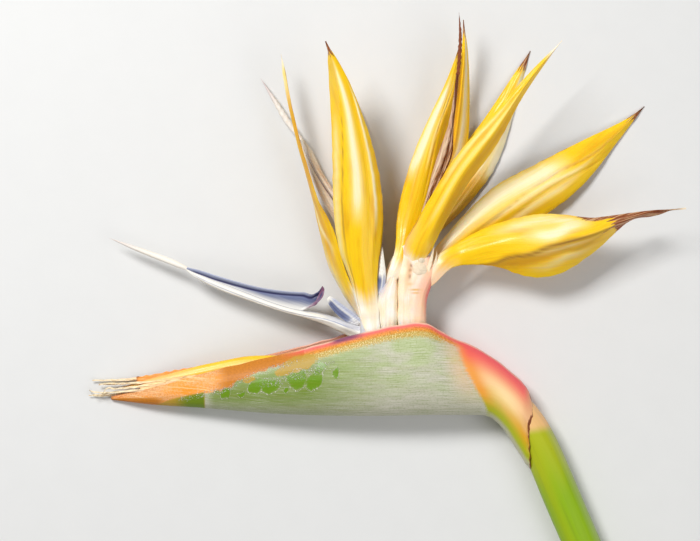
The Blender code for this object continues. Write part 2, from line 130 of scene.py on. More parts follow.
def carried(rows, at):
    """Rows read at even steps, carried by a smooth curve to places from 0 to 1 and a little past."""
    slopes = np.gradient(rows, axis=0)
    place = at * (len(rows) - 1)
    k = np.clip(place.astype(int), 0, len(rows) - 2)
    return joined((place - k)[:, None], rows[k], slopes[k], rows[k + 1], slopes[k + 1])


def curve(at, points):
    """A smooth function through (place, value) pairs, level before the first and after the last."""
    places, values = np.array(points, dtype=float).T
    steps = np.diff(places)
    slopes = np.gradient(values, places) if len(places) > 2 else np.repeat(np.diff(values) / steps, 2)
    inside = np.clip(at, places[0], places[-1])
    k = np.clip(np.searchsorted(places, inside, side="right") - 1, 0, len(steps) - 1)
    h = steps[k]
    t = (inside - places[k]) / h
    return joined(t, values[k], h * slopes[k], values[k + 1], h * slopes[k + 1])


def ramp(value, low, high):
    """0 below `low`, 1 above `high`, and a smooth step between."""
    t = np.clip((value - low) / (high - low), 0.0, 1.0)
    return t * t * (3 - 2 * t)


def bell(value, middle, width):
    """1 where the value is `middle`, falling smoothly to almost 0 two widths away on both sides."""
    return np.exp(-(((value - middle) / width) ** 2))


def domed(u):
    """1 along the middle of a blade, falling to 0 at its edges as a half circle does."""
    return np.sqrt(np.maximum(1 - u**2, 0))


def stacked(*parts):
    """Numbers from grids of different shapes, side by side as vectors on their common grid."""
    return np.stack(np.broadcast_arrays(*parts), axis=-1)


def around(count):
    """Even angles once round a ring."""
    return np.linspace(0.0, 2 * math.pi, count, endpoint=False)[None, :]


def rested(places, height=0.0):
    """The places, with none of them lower than a height above the table."""
    places[..., 2] = np.maximum(places[..., 2], height)
    return places


def ripple(s, u, seed, waves=3.0, across=1.0):
    """A smooth uneven pattern from -1 to 1: a few waves that run along a piece and across it."""
    draw = np.random.default_rng(seed)
    total = 0.0
    for _ in range(5):
        a, b = draw.uniform(0.4, 1.0, 2) * (waves, across) * 2 * math.pi
        total = total + np.sin(a * s + b * u * draw.choice((-1, 1)) + draw.uniform(0, 2 * math.pi))
    return total / 3.2


def eased(at, points):
    """A table read with a soft step between each two of its points, so that it never overshoots."""
    total = points[0][1] + 0.0 * at
    for (low, first), (high, second) in zip(points[:-1], points[1:]):
        total = total + (second - first) * ramp(at, low, high)
    return total


class Run:
    """How a solid runs from root to tip: its middle line, the way across and out, its width and thickness.

    A flat solid is read across its widest chord, and a round one level with the table. A pointed one ends in
    its tip, and any other in its last cut.
    """

    def __init__(self, node, root, flat=True, pointed=True):
        corners = corners_of(node)
        points = corners.reshape(-1, 3)
        tip = points[np.argmax(np.linalg.norm(points - root, axis=1))]
        depth = (points - root) @ unit(tip - root)
        start = points[depth < depth.min() + ROOT_DEPTH].mean(axis=0)
        path = start + (tip - start) * np.linspace(0.02, 0.98, READINGS)[:, None]
        for _ in range(PASSES):
            facing = unit(np.gradient(path, axis=0))
            rows = np.array([self.read(cut(corners, p, f), p, f, flat) for p, f in zip(path, facing)])
            path = rows[:, 0:3]
        last = rows[-1] + (rows[-1] - rows[-2]) * 0.5
        if pointed:
            last[0:3] = tip
            last[6:9] = 0.0
        first = rows[0] - (rows[1] - rows[0]) * 0.5
        self.rows = np.vstack((first, rows, last))
        steps = np.linalg.norm(np.diff(self.rows[:, 0:3], axis=0), axis=1)
        reach = np.concatenate(([0.0], np.cumsum(steps)))
        self.length = reach[-1]
        even = np.linspace(0.0, self.length, len(self.rows))
        self.rows = np.stack([np.interp(even, reach, column) for column in self.rows.T], axis=1)
        # The way across is evened out, and a wide cut counts for more than a narrow one.
        weight = np.maximum(self.rows[:, 6:7], 0.2)
        for _ in range(2):
            across = self.rows[:, 3:6] * weight
            across[1:-1] = across[:-2] + 2 * across[1:-1] + across[2:]
            self.rows[:, 3:6] = unit(across)

    @staticmethod
    def read(points, place, facing, flat):
        """One cut: middle, direction across, half width, half thickness and arch."""
        across = unit(np.cross(facing, UP))
        if flat:
            gaps = np.linalg.norm(points[:, None] - points[None], axis=2)
            a, b = np.unravel_index(np.argmax(gaps), gaps.shape)
            chord = unit(points[b] - points[a])
            across = chord if chord @ across > 0 else -chord
        out = np.cross(across, facing)
        side = (points - place) @ across
        lift = (points - place) @ out
        half = np.ptp(side) / 2
        middle = (side.max() + side.min()) / 2
        if not flat:
            level = (lift.max() + lift.min()) / 2
            return (*(place + across * middle + out * level), *across, half, np.ptp(lift) / 2, 0.0)
        left, right = lift[np.argmin(side)], lift[np.argmax(side)]
        level = (left + right) / 2
        core = lift[np.abs(side - middle) < CORE * half]
        bulge = (core.max() + core.min()) / 2 - level if len(core) else 0.0
        thick = np.ptp(core) / 2 if len(core) else 0.2
        return (*(place + across * middle + out * level), *across, half, thick, bulge)

    def at(self, along):
        """Middle, heading, across, out, half width, half thickness and arch at the places `along`."""
        rows = carried(self.rows, along)
        middle = rows[:, 0:3]
        heading = unit(np.gradient(middle, axis=0))
        across = rows[:, 3:6]
        across = unit(across - heading * np.sum(across * heading, axis=1, keepdims=True))
        out = np.cross(across, heading)
        half, thick = np.maximum(rows[:, 6:8], 0.0).T
        return middle, heading, across, out, half, thick, rows[:, 8]

    def edge(self, side):
        """The run along one edge of this one, evened out; side -1 is the left edge and 1 the right."""
        line = self.rows[:, 0:3] + side * self.rows[:, 3:6] * self.rows[:, 6:7]
        share = np.linspace(0.0, 1.0, len(line))
        along = copy.copy(self)
        along.rows = self.rows.copy()
        order = 4
        for k in range(3):
            along.rows[:, k] = np.polyval(np.polyfit(share, line[:, k], order), share)
        return along

    def grid(self, along):
        """Middle, across and out at a grid of places."""
        fine = np.linspace(-0.05, 1.05, 400)
        middle, _, across, out, *_ = self.at(fine)
        columns = np.hstack((middle, across, out)).T
        read = [np.interp(along.ravel(), fine, column) for column in columns]
        return [np.stack(read[k:k + 3], axis=1).reshape(*along.shape, 3) for k in (0, 3, 6)]


# ---------------------------------------------------------------- making meshes


def fan(index, low, high):
    """Faces that close both ends of a shell round their middle points."""
    first = [(int(b), int(a), low) for a, b in zip(index[0], np.roll(index[0], -1))]
    last = [(int(a), int(b), high) for a, b in zip(index[-1], np.roll(index[-1], -1))]
    return first + last


def folded(upper, under):
    """A folded sheet's rings: out along its upper side and back along its underside."""
    return np.concatenate((upper, under[:, ::-1]), axis=1)


def strip(index, *_):
    """Faces that close both ends of a folded sheet, whose rings go out on one side and back on the other."""
    faces = []
    for ring, order in ((index[0], -1), (index[-1], 1)):
        half = len(ring) // 2
        out, back = ring[:half], ring[::-1][:half]
        quads = np.stack((out[:-1], out[1:], back[1:], back[:-1]), axis=1)[:, ::order]
        faces += quads.tolist()
    return faces


def piece(name, shells, material, ends=fan):
    """One object from closed shells, each (rings, layers), in place of the solid of its name."""
    keys = sorted({key for _, layers in shells for key in layers})
    places, faces, columns = [], [], {key: [] for key in keys}
    for rings, layers in shells:
        base = sum(len(block) for block in places)
        count, size = rings.shape[:2]
        index = base + np.arange(count * size).reshape(count, size)
        ahead = np.roll(index, -1, axis=1)
        quads = np.stack((index[:-1], ahead[:-1], ahead[1:], index[1:]), axis=-1).reshape(-1, 4)
        faces += quads.tolist()
        faces += ends(index, base + count * size, base + count * size + 1)
        places.append(rings.reshape(-1, 3))
        if ends is fan:
            places += [rings[0].mean(axis=0)[None], rings[-1].mean(axis=0)[None]]
        for key in keys:
            values = np.asarray(layers.get(key, 0.0), dtype=float)
            values = values if values.ndim == 3 else np.broadcast_to(values, (count, size))[..., None]
            flat = values.reshape(count * size, -1)
            if ends is fan:
                flat = np.concatenate((flat, values[0].mean(axis=0)[None], values[-1].mean(axis=0)[None]))
            columns[key].append(flat)
    mesh = bpy.data.meshes.new(name)
    mesh.from_pydata(np.concatenate(places) * MM, [], faces)
    for key, blocks in columns.items():
        block = np.concatenate(blocks).astype(np.float32)
        kind = "FLOAT" if block.shape[1] == 1 else "FLOAT_VECTOR"
        layer = mesh.attributes.new(key, kind, "POINT")
        layer.data.foreach_set("value" if kind == "FLOAT" else "vector", block.ravel())
    mesh.materials.append(material)
    mesh.shade_smooth()
    mesh.set_sharp_from_angle(angle=SHARP_ANGLE)
    made = bpy.data.objects.new(name, mesh)
    bpy.context.scene.collection.objects.link(made)
    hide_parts(name)
    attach(made, "root")


class Blade:
    """A fine sepal, petal or bract laid on a solid's run: relief and painted layers over a grid of s and u.

    s runs from 0 at the root to 1 at the tip, and u from -1 at the left edge to 1 at the right edge.
    """

    def __init__(self, run, rows, columns, root, tip=1.0):
        self.run = run
        self.s = np.linspace(root, tip, rows)[:, None]
        even = np.linspace(-1.0, 1.0, columns)
        self.u = (0.45 * even + 0.55 * np.sin(even * math.pi / 2))[None, :]
        self.lift = np.zeros((rows, columns))
        self.width = np.ones((rows, 1))
        self.turn = np.zeros((rows, 1))
        self.shift = np.zeros((rows, 1))
        self.bulge = np.ones((rows, 1))
        self.edges = None
        self.layers = {}

    def line(self, path, width, fade=0.05):
        """1 on a line of (s, u) points, falling to 0 beside it and past its ends."""
        first, last = path[0][0], path[-1][0]
        ends = ramp(self.s, first - fade, first + fade) * (1 - ramp(self.s, last - fade, last + fade))
        return bell(self.u, curve(self.s, path), width) * ends

    def beyond(self, path, width, side):
        """How far a place lies past a line of (s, u) points, in half widths; side -1 looks to the left."""
        away = side * (self.u - curve(self.s, path))
        return np.maximum(away, 0.0) * ramp(away, 0.0, width)

    def bend(self, plan):
        """Take the shares of width, bulge, shift, turn and rise that a plan gives along the blade."""
        self.width *= eased(self.s, plan.get("wide", LEVEL))
        self.bulge *= eased(self.s, plan.get("bulge", LEVEL))
        self.shift += eased(self.s, plan.get("shift", NONE))
        self.turn += eased(self.s, plan.get("turn", NONE))
        self.lift += eased(self.s, plan.get("raise", NONE))

    def paint(self, layer, mask):
        """Lay a mask over what a layer already holds."""
        held = self.layers.get(layer, 0.0)
        self.layers[layer] = 1 - (1 - held) * (1 - np.clip(mask, 0.0, 1.0))

    def rings(self, rim, spine, taper=0.06, least=0.12):
        """The closed rings of the blade, `rim` thick near its edges and `spine` thick along its middle."""
        u = self.u
        middle, _, across, out, half, _, arch = self.run.at(self.s[:, 0])
        cos, sin = np.cos(self.turn), np.sin(self.turn)
        across, out = across * cos + out * sin, out * cos - across * sin
        half = np.maximum(half[:, None] * self.width, least)
        side = half * u + self.shift
        if self.edges is not None:
            left, right = (curve(self.s, line) for line in self.edges)
            half = np.maximum((right - left) / 2, least)
            side = (left + right) / 2 + half * u
        profile = rim + (spine - rim) * bell(u, 0.0, 0.4)
        profile = profile * np.sqrt(1 - np.abs(u) ** 6) * ramp(1 - self.s, -0.01, taper)
        profile = np.minimum(np.maximum(profile, THINNEST), half * 1.4)
        level = arch[:, None] * self.bulge * (1 - u**2) + self.lift
        flat = middle[:, None] + across[:, None] * side[..., None]
        top = rested(flat + out[:, None] * (level + profile / 2)[..., None], CLEAR)
        low = rested(flat + out[:, None] * (level - profile / 2)[..., None])

        def closed(upper, under):
            return np.concatenate((upper, under[:, -2:0:-1]), axis=1)

        flow = stacked(side, self.s * self.run.length, 0 * u)
        layers = {"flow": closed(flow, flow)}
        layers["flow"][:, top.shape[1]:, 2] = UNDERSIDE
        for key, values in self.layers.items():
            values = np.broadcast_to(values, self.lift.shape)
            layers[key] = closed(values, values)
        return closed(top, low), layers


def rod(run, rows, sides, root, tip, swell):
    """Rings of a round piece on a solid's run; `swell` gives the radius as a share, from s and the angle."""
    s = np.linspace(root, tip, rows)
    middle, _, across, out, half, thick, _ = run.at(s)
    turn = around(sides)
    share = swell(s[:, None], turn)
    wide = np.maximum(half, SLIMMEST)[:, None] * share * np.cos(turn)
    high = np.maximum(thick, SLIMMEST)[:, None] * share * np.sin(turn)
    rings = middle[:, None] + across[:, None] * wide[..., None] + out[:, None] * high[..., None]
    layers = {
        "flow": stacked(turn * half.max(), (s * run.length)[:, None], 0 * turn),
        "along": np.broadcast_to(s[:, None], (rows, sides)),
        "round": np.broadcast_to(np.cos(turn), (rows, sides)),
    }
    return rested(rings), layers


# ---------------------------------------------------------------- shader maths


class Value:
    """A shader socket that Python arithmetic works on: each operator adds its Math node."""

    def __init__(self, paint, socket):
        self.paint = paint
        self.socket = socket

    def math(self, operation, first, second):
        """One Math node on two values or numbers."""
        node = self.paint.node("Math", {"operation": operation}, {0: first, 1: second})
        return Value(self.paint, node.outputs[0])

    def __add__(self, other):
        return self.math("ADD", self, other)

    __radd__ = __add__

    def __sub__(self, other):
        return self.math("SUBTRACT", self, other)

    def __rsub__(self, other):
        return self.math("SUBTRACT", other, self)

    def __mul__(self, other):
        return self.math("MULTIPLY", self, other)

    __rmul__ = __mul__

    def step(self, low, high):
        """0 below `low`, 1 above `high`, and smooth between; with `low` the larger, the other way round."""
        settings = {"interpolation_type": "SMOOTHSTEP"}
        if low > high:
            return 1 - self.step(high, low)
        node = self.paint.node("MapRange", settings, {0: self, 1: low, 2: high, 3: 0.0, 4: 1.0})
        return Value(self.paint, node.outputs[0])

    def near(self, place, width):
        """1 where the value is `place`, falling to 0 a `width` away on both sides."""
        return self.step(place - width, place) * self.step(place + width, place)


class Paint:
    """A material and the nodes that colour it; `skin` is its colour so far."""

    def __init__(self, name, **constants):
        self.material = bpy.data.materials.new(name)
        self.material.use_nodes = True
        self.tree = self.material.node_tree
        self.shader = self.tree.nodes["Principled BSDF"]
        self.skin = None
        for key, value in constants.items():
            self.shader.inputs[key.replace("_", " ")].default_value = value

    def node(self, kind, settings=None, sockets=None):
        """One shader node: its settings first, then the values or links of its sockets."""
        made = self.tree.nodes.new("ShaderNode" + kind)
        for key, value in (settings or {}).items():
            setattr(made, key, value)
        for key, value in (sockets or {}).items():
            self.join(made.inputs[key], value)
        return made

    def join(self, socket, value):
        """Link a value to a socket, or set the socket to a number, a colour or a vector."""
        if isinstance(value, Value):
            self.tree.links.new(value.socket, socket)
        elif socket.type == "RGBA":
            socket.default_value = (*value[:3], 1.0)
        else:
            socket.default_value = value

    def layer(self, name):
        """A painted layer of the mesh, as a number."""
        return Value(self, self.node("Attribute", {"attribute_name": name}).outputs["Fac"])

    def flow(self, across, along):
        """The place on the surface in millimetres, stretched across and along."""
        held = Value(self, self.node("Attribute", {"attribute_name": "flow"}).outputs["Vector"])
        sockets = {0: held, 1: (across, along, 1.0)}
        return Value(self, self.node("VectorMath", {"operation": "MULTIPLY"}, sockets).outputs[0])

    def cloud(self, place, scale, detail, roughness=0.55):
        """Noise that wanders round a half, from a place in any units."""
        sockets = {"Vector": place, "Scale": scale, "Detail": detail, "Roughness": roughness}
        return Value(self, self.node("TexNoise", None, sockets).outputs["Fac"])

    def noise(self, across, along, detail, roughness=0.55):
        """Noise on the surface, as so many waves a millimetre across it and along it."""
        return self.cloud(self.flow(across, along), 1.0, detail, roughness)

    def cells(self, across, along, scale):
        """The distance to the nearest of many scattered points on the surface."""
        node = self.node("TexVoronoi", None, {"Vector": self.flow(across, along), "Scale": scale})
        return Value(self, node.outputs["Distance"])

    def mix(self, share, first, second):
        """The first colour, turning into the second as `share` goes from 0 to 1."""
        sockets = {0: share, 6: first, 7: second}
        settings = {"data_type": "RGBA", "clamp_factor": True}
        return Value(self, self.node("Mix", settings, sockets).outputs[2])

    def lay(self, share, colour):
        """Lay a colour over the skin so far, as thickly as `share` says."""
        self.skin = self.mix(share, self.skin, colour)

    def dent(self, height, depth):
        """A normal bumped by a height of about 0 to 1; `depth` is in millimetres."""
        sockets = {"Height": height, "Distance": depth * MM, "Strength": 1.0}
        return Value(self, self.node("Bump", None, sockets).outputs["Normal"])

    def done(self, roughness, normal, coat=None):
        """The material, with its skin, roughness, normal and coat joined to the shader."""
        self.join(self.shader.inputs["Base Color"], self.skin)
        self.join(self.shader.inputs["Roughness"], roughness)
        self.join(self.shader.inputs["Normal"], normal)
        if coat is not None:
            self.join(self.shader.inputs["Coat Weight"], coat)
        return self.material


# ---------------------------------------------------------------- colours


def colour(label, value, words):
    """A colour that a user can change."""
    return FloatVectorProperty(
        name=label, description=words, subtype="COLOR", size=3, min=0.0, max=1.0, default=value
    )


class FlowerColours(bpy.types.PropertyGroup):
    """The colours that the materials mix."""

    # Gold, olive and brown also serve as painted shade on the sepals, and pale yellow and cream as their
    # painted highlights. Pale yellow also paints the highlight on the spathe's neck, and stem yellow the
    # highlight down the stem's lit side.
    yellow: colour("Yellow", (0.97, 0.60, 0.003), "Fresh sepal")
    gold: colour("Gold", (0.72, 0.35, 0.002), "Shaded or thicker parts of a sepal")
    pale_yellow: colour("Pale yellow", (1.0, 0.88, 0.46), "Where a sepal catches the light")
    cream: colour("Cream", (0.93, 0.79, 0.57), "Flower bases and the roots of the sepals")
    peach: colour("Peach", (0.93, 0.50, 0.24), "Warm side of the bases and the spathe's neck")
    pink: colour("Pink", (0.92, 0.10, 0.12), "Flushed edges")
    orange: colour("Orange", (0.88, 0.31, 0.018), "Band under the spathe's margin")
    olive: colour("Olive", (0.50, 0.30, 0.03), "Where the orange meets the green")
    bloom: colour("Waxy green", (0.47, 0.53, 0.29), "Spathe under its waxy bloom")
    bloom_grey: colour("Waxy grey", (0.57, 0.55, 0.44), "Thickest bloom on the spathe")
    wet_green: colour("Rubbed green", (0.14, 0.28, 0.004), "Where the bloom is rubbed away")
    leaf_green: colour("Leaf green", (0.15, 0.24, 0.006), "Underside of the beak")
    stem_green: colour("Stem green", (0.25, 0.42, 0.002), "Lower stem")
    stem_yellow: colour("Stem yellow", (0.42, 0.46, 0.008), "Stem near the spathe")
    blue: colour("Blue", (0.12, 0.145, 0.27), "Face of the arrow")
    navy: colour("Navy", (0.03, 0.03, 0.11), "Folds of the arrow")
    rust: colour("Rust", (0.40, 0.13, 0.010), "Darkest orange of the beak")
    plum: colour("Plum", (0.20, 0.06, 0.13), "Torn edge of the arrow")
    lilac: colour("Lilac", (0.46, 0.50, 0.66), "Rim of the arrow")
    white: colour("White", (0.90, 0.87, 0.79), "Keel of the arrow and the style")
    mauve: colour("Mauve", (0.56, 0.42, 0.44), "Ageing petal")
    tan: colour("Tan", (0.60, 0.35, 0.18), "Dry petal")
    brown: colour("Brown", (0.23, 0.055, 0.012), "Dead tips")


def measure(label, value, words, least=0.0):
    """A number that a user can change."""
    return FloatProperty(name=label, description=words, default=value, min=least)


def count(label, value, words, least):
    """A whole number that a user can change."""
    return IntProperty(name=label, description=words, default=value, min=least)


class FlowerSizes(bpy.types.PropertyGroup):
    """Wall thicknesses, and how finely the sepals are divided."""

    sepal_rim: measure("Sepal rim", 0.55, "Thickness near a sepal's edges, mm", 0.1)
    sepal_spine: measure("Sepal spine", 1.3, "Thickness along a sepal's middle, mm", 0.1)
    spathe_lip: measure("Spathe lip", 0.6, "Thickness of the spathe's margins, mm", 0.1)
    spathe_wall: measure("Spathe wall", 1.3, "Thickness of the spathe's sides, mm", 0.1)
    blade_rows: count("Blade rows", 150, "Rows of faces along a sepal", 20)
    blade_columns: count("Blade columns", 35, "Columns of faces across a sepal", 9)


class FlowerStudio(bpy.types.PropertyGroup):
    """The camera, the lights and the table."""

    aim: FloatVectorProperty(
        name="Aim", description="Where the camera looks, mm", size=2, default=(-12.9, 40.8)
    )
    width: measure("View width", 259.0, "Width of the view at the flower, mm", 1.0)
    lens: measure("Lens", 180.0, "Focal length, mm", 1.0)
    key: measure("Key light", 9.2, "Power of the main light, W")
    fill: measure("Fill light", 3.0, "Power of the side light, W")
    sky: measure("Surround", 0.27, "Strength of the surrounding light")
    table: colour("Table", (0.72, 0.72, 0.71), "The pale table")


# ---------------------------------------------------------------- materials


def sepal_material():
    """Waxy yellow, with painted highlights in pale yellow and cream, painted shade in gold, olive and brown
    along folds and creases, cream at the root, brown where it has dried.
    """
    look = bpy.context.scene.flower_colours
    paint = Paint(
        "sepal", Coat_Roughness=0.18, Specular_IOR_Level=0.3, Subsurface_Weight=0.12, Subsurface_Scale=0.002
    )
    veins = paint.noise(1.5, 0.03, 4.0)
    fine = paint.noise(3.2, 0.10, 4.0)
    broad = paint.noise(0.22, 0.04, 2.0)
    grain = paint.noise(2.2, 1.6, 3.0)
    paint.skin = paint.mix(broad.step(0.22, 0.5), look.gold, look.yellow)
    paint.lay(veins.step(0.5, 0.75) * 0.35, look.gold)
    paint.lay(fine.step(0.52, 0.72) * 0.25, look.gold)
    paint.lay(paint.layer("shade") * (0.7 + 0.5 * veins), look.gold)
    # Painted highlight: pale yellow streaks, turning cream where strongest.
    painted_highlight = paint.layer("pale") * (0.35 + 0.8 * veins + 0.5 * fine)
    paint.lay(painted_highlight, look.pale_yellow)
    paint.lay((painted_highlight - 0.5) * 1.3, look.cream)
    root = (paint.layer("cream") + (veins - 0.5) * 0.7 + (broad - 0.5) * 0.4).step(0.05, 0.95)
    paint.lay(root, paint.mix(broad.step(0.4, 0.65), look.cream, look.white))
    paint.lay(paint.layer("flush") * 0.8, look.peach)
    # Painted shade: olive along folds and where other sepals shade this one, and brown for the thinnest dark
    # lines in creases.
    paint.lay(paint.layer("umber") * (0.55 + 0.8 * fine), look.olive)
    paint.lay(paint.layer("crease") * (0.3 + 0.9 * fine), look.brown)
    dead = paint.mix(fine.step(0.46, 0.62), look.brown, look.tan)
    dry = (paint.layer("dry") + (veins - 0.5) * 0.7 + (grain - 0.5) * 0.3).step(0.35, 0.62)
    paint.lay(dry, dead)
    paint.lay(paint.layer("bleach"), look.cream)
    roughness = 0.38 + 0.14 * veins + 0.20 * dry
    height = veins * (1 + 0.8 * dry) + fine * 0.5 + grain * 0.22
    return paint.done(roughness, paint.dent(height, 0.14), 0.22 * (1 - dry))


def spathe_material():
    """A waxy grey-green boat with a red lip, rubbed patches, an orange beak and a peach neck, with a painted
    highlight along the neck's middle.
    """
    look = bpy.context.scene.flower_colours
    paint = Paint("spathe", Coat_Roughness=0.3, Specular_IOR_Level=0.25)
    streaks = paint.noise(1.5, 0.05, 4.0)
    fine = paint.noise(4.2, 0.10, 5.0, 0.7)
    broad = paint.noise(0.12, 0.05, 3.0)
    grain = paint.noise(1.6, 1.3, 3.0)
    rise = paint.layer("rise")
    lip = paint.layer("lip")
    neck = (paint.layer("neck") + (grain - 0.5) * 0.5 + (streaks - 0.5) * 0.5).step(0.2, 0.8)
    rough = (grain - 0.5) * 1.6
    specks = paint.noise(2.4, 2.0, 2.0)
    wet = (paint.layer("wet") + rough * 0.6).step(0.38, 0.62)
    crystals = paint.cells(1.0, 1.0, 1.3).near(0.36, 0.10) * broad.step(0.42, 0.52)
    sugared = (paint.layer("sugar") + (grain - 0.5) * 1.4).step(0.45, 0.65)
    crystals = (crystals + specks.step(0.60, 0.64)) * sugared
    crystals = crystals + paint.layer("wet").near(0.33, 0.14) * specks.step(0.50, 0.58) * 0.8
    paint.skin = paint.mix(broad.step(0.4, 0.62), look.bloom, look.bloom_grey)
    paint.lay((0.42 - rise).step(-0.12, 0.3) * (0.5 + broad), look.bloom_grey)
    paint.lay(paint.layer("green") * (0.55 + 0.5 * broad), look.leaf_green)
    paint.lay(streaks.step(0.52, 0.75) * 0.30, look.leaf_green)
    paint.lay(fine.step(0.50, 0.64) * 0.5, look.leaf_green)
    paint.lay(fine.step(0.48, 0.34) * 0.3, look.white)
    paint.lay(grain.step(0.50, 0.64) * 0.22, look.leaf_green)
    paint.lay(paint.layer("dusk") * (0.35 + 0.5 * grain), look.peach)
    ochre = paint.mix(specks.step(0.5, 0.6) * 0.6, look.olive, look.pale_yellow)
    paint.lay((paint.layer("band") + rough * 0.8).step(0.2, 0.8) * 0.9, ochre)
    amber = paint.mix(grain.step(0.4, 0.65) * 0.7, look.orange, look.rust)
    paint.lay((paint.layer("warm") + rough * 0.6).step(0.3, 0.9) * 0.85, amber)
    beak = paint.mix((grain * 0.5 + broad * 0.7).step(0.45, 0.75), look.orange, look.peach)
    beak = paint.mix((specks * 0.5 + broad * 0.7).step(0.55, 0.75) * 0.5, beak, look.rust)
    beak = paint.mix(streaks.step(0.52, 0.68) * 0.45, beak, look.pale_yellow)
    ember = paint.mix(0.3 + grain * 0.7, look.orange, look.rust)
    beak = paint.mix((paint.layer("ember") + (broad - 0.5) * 0.5).step(0.2, 0.8), beak, ember)
    paint.lay((paint.layer("beak") + rough * 0.45).step(0.3, 0.75), beak)
    paint.lay((paint.layer("honey") + rough * 0.2).step(0.2, 0.8), look.olive)
    paint.lay((paint.layer("under") + rough * 0.15).step(0.2, 1.0), look.leaf_green)
    paint.lay(wet, look.wet_green)
    paint.lay((paint.layer("umber") + rough * 0.3).step(0.42, 0.58) * 0.85, look.olive)
    uneven = rise + (broad - 0.5) * 0.3
    warmth = paint.mix(uneven.step(0.10, 0.38), look.stem_yellow, look.gold)
    warmth = paint.mix(uneven.step(0.36, 0.6), warmth, look.peach)
    # Painted highlight: pale yellow along the middle of the neck.
    warmth = paint.mix(paint.layer("glow"), warmth, look.pale_yellow)
    warmth = paint.mix(paint.layer("edge") * 0.8, warmth, look.orange)
    warmth = paint.mix(paint.layer("ash"), warmth, look.bloom_grey)
    paint.lay(neck, warmth)
    paint.lay((paint.layer("blush") + (streaks - 0.5) * 0.15) * 0.9, look.pink)
    margin = paint.mix(lip.step(0.8, 0.1) * 0.6, look.pink, look.cream)
    red = (lip + rough * 0.6).step(2.6, 0.5) * paint.layer("red")
    paint.lay(red * 0.88, margin)
    paint.lay(paint.layer("dark") * (0.6 + 0.8 * streaks), look.plum)
    paint.lay(crystals, look.white)
    within = paint.mix(lip.step(1.2, 0.2) * 0.45, look.cream, look.pink)
    paint.lay(paint.layer("inner"), within)
    paint.lay((paint.layer("dry") + (streaks - 0.5) * 0.5).step(0.35, 0.6), look.brown)
    roughness = 0.5 + 0.16 * grain - 0.24 * wet - 0.12 * paint.layer("neck")
    height = streaks * 0.5 + fine * 0.7 + crystals * 1.2 + grain * 0.3
    return paint.done(roughness, paint.dent(height, 0.14), 0.10 + 0.4 * wet)


def stem_material():
    """Smooth lime-green skin, yellower by the spathe, with a pale fibrous cut."""
    look = bpy.context.scene.flower_colours
    paint = Paint("stem", Coat_Roughness=0.3, Coat_Weight=0.1, Specular_IOR_Level=0.3)
    streaks = paint.noise(0.9, 0.03, 4.0)
    broad = paint.noise(0.12, 0.03, 2.0)
    grain = paint.noise(2.0, 1.2, 3.0)
    along = paint.layer("along") + (broad - 0.5) * 0.12
    paint.skin = paint.mix(along.step(0.37, 0.52), look.stem_yellow, look.stem_green)
    paint.lay(streaks.step(0.5, 0.75) * 0.3, look.leaf_green)
    # Painted light: a yellower highlight band down the stem's lit side, and a greyer band of waxy bloom and
    # painted sheen down the other side.
    paint.lay(paint.layer("round").near(0.55, 0.5) * 0.35, look.stem_yellow)
    paint.lay(paint.layer("round").step(-0.5, -1.0) * 0.35, look.bloom)
    paint.lay(paint.layer("papery") * (0.7 + 0.5 * streaks), look.peach)
    specks = paint.cells(0.35, 0.16, 1.0).step(0.06, 0.02)
    paint.lay(specks * 0.7, look.brown)
    strands = paint.cells(1.0, 1.0, 1.05).step(0.34, 0.2)
    pith = paint.mix(strands, look.cream, look.leaf_green)
    paint.lay(paint.layer("pith"), pith)
    roughness = 0.42 + 0.12 * grain + 0.2 * paint.layer("pith")
    return paint.done(roughness, paint.dent(streaks + grain * 0.3, 0.08))


def base_material():
    """Fleshy cream, flushed peach and pink on the oldest flower, with thin dark seams, painted shade in the
    cracks between the bases, and painted shade in gold and peach beside the stub.
    """
    look = bpy.context.scene.flower_colours
    paint = Paint(
        "flower_base", Coat_Weight=0.1, Coat_Roughness=0.3, Subsurface_Weight=0.15, Subsurface_Scale=0.002
    )
    streaks = paint.noise(1.0, 0.05, 4.0)
    broad = paint.noise(0.2, 0.1, 2.0)
    grain = paint.noise(2.0, 1.6, 3.0)
    paint.skin = paint.mix(broad.step(0.4, 0.65), look.cream, look.white)
    paint.lay(streaks.step(0.52, 0.72) * 0.35, look.peach)
    paint.lay(paint.layer("flush") * (0.6 + 0.5 * broad), look.peach)
    paint.lay(paint.layer("blush") * (0.5 + 0.7 * streaks), look.pink)
    # Painted shade: gold beside and below the stub.
    paint.lay(paint.layer("gold"), look.gold)
    # Thin dark lines: dry seams across the bases' faces, and painted shade in the cracks where the bases meet.
    paint.lay(paint.layer("seam") * (0.5 + 0.6 * streaks), look.tan)
    paint.lay(paint.layer("dry") * 0.8, look.brown)
    paint.lay(paint.layer("grey") * (0.5 + 0.7 * streaks), look.lilac)
    roughness = 0.45 + 0.16 * grain
    return paint.done(roughness, paint.dent(streaks + grain * 0.4, 0.12))


def arrow_material():
    """White keel, blue face, navy folds and a lilac rim."""
    look = bpy.context.scene.flower_colours
    paint = Paint("arrow", Coat_Weight=0.15, Coat_Roughness=0.25)
    streaks = paint.noise(1.8, 0.04, 4.0)
    broad = paint.noise(0.3, 0.12, 2.0)
    grain = paint.noise(2.6, 1.8, 3.0)
    face = (paint.layer("face") + (streaks - 0.5) * 0.3).step(0.1, 0.9)
    paint.skin = paint.mix(face, look.white, look.blue)
    paint.lay(paint.layer("rim") * (0.7 + 0.4 * streaks), look.lilac)
    paint.lay((paint.layer("fold") + (broad - 0.5) * 0.4).step(0.15, 0.85), look.navy)
    paint.lay(paint.layer("ash") * (0.4 + streaks), look.lilac)
    paint.lay(paint.layer("claw") * (0.4 + streaks), look.plum)
    roughness = 0.44 + 0.18 * grain
    return paint.done(roughness, paint.dent(streaks + grain * 0.35, 0.1))


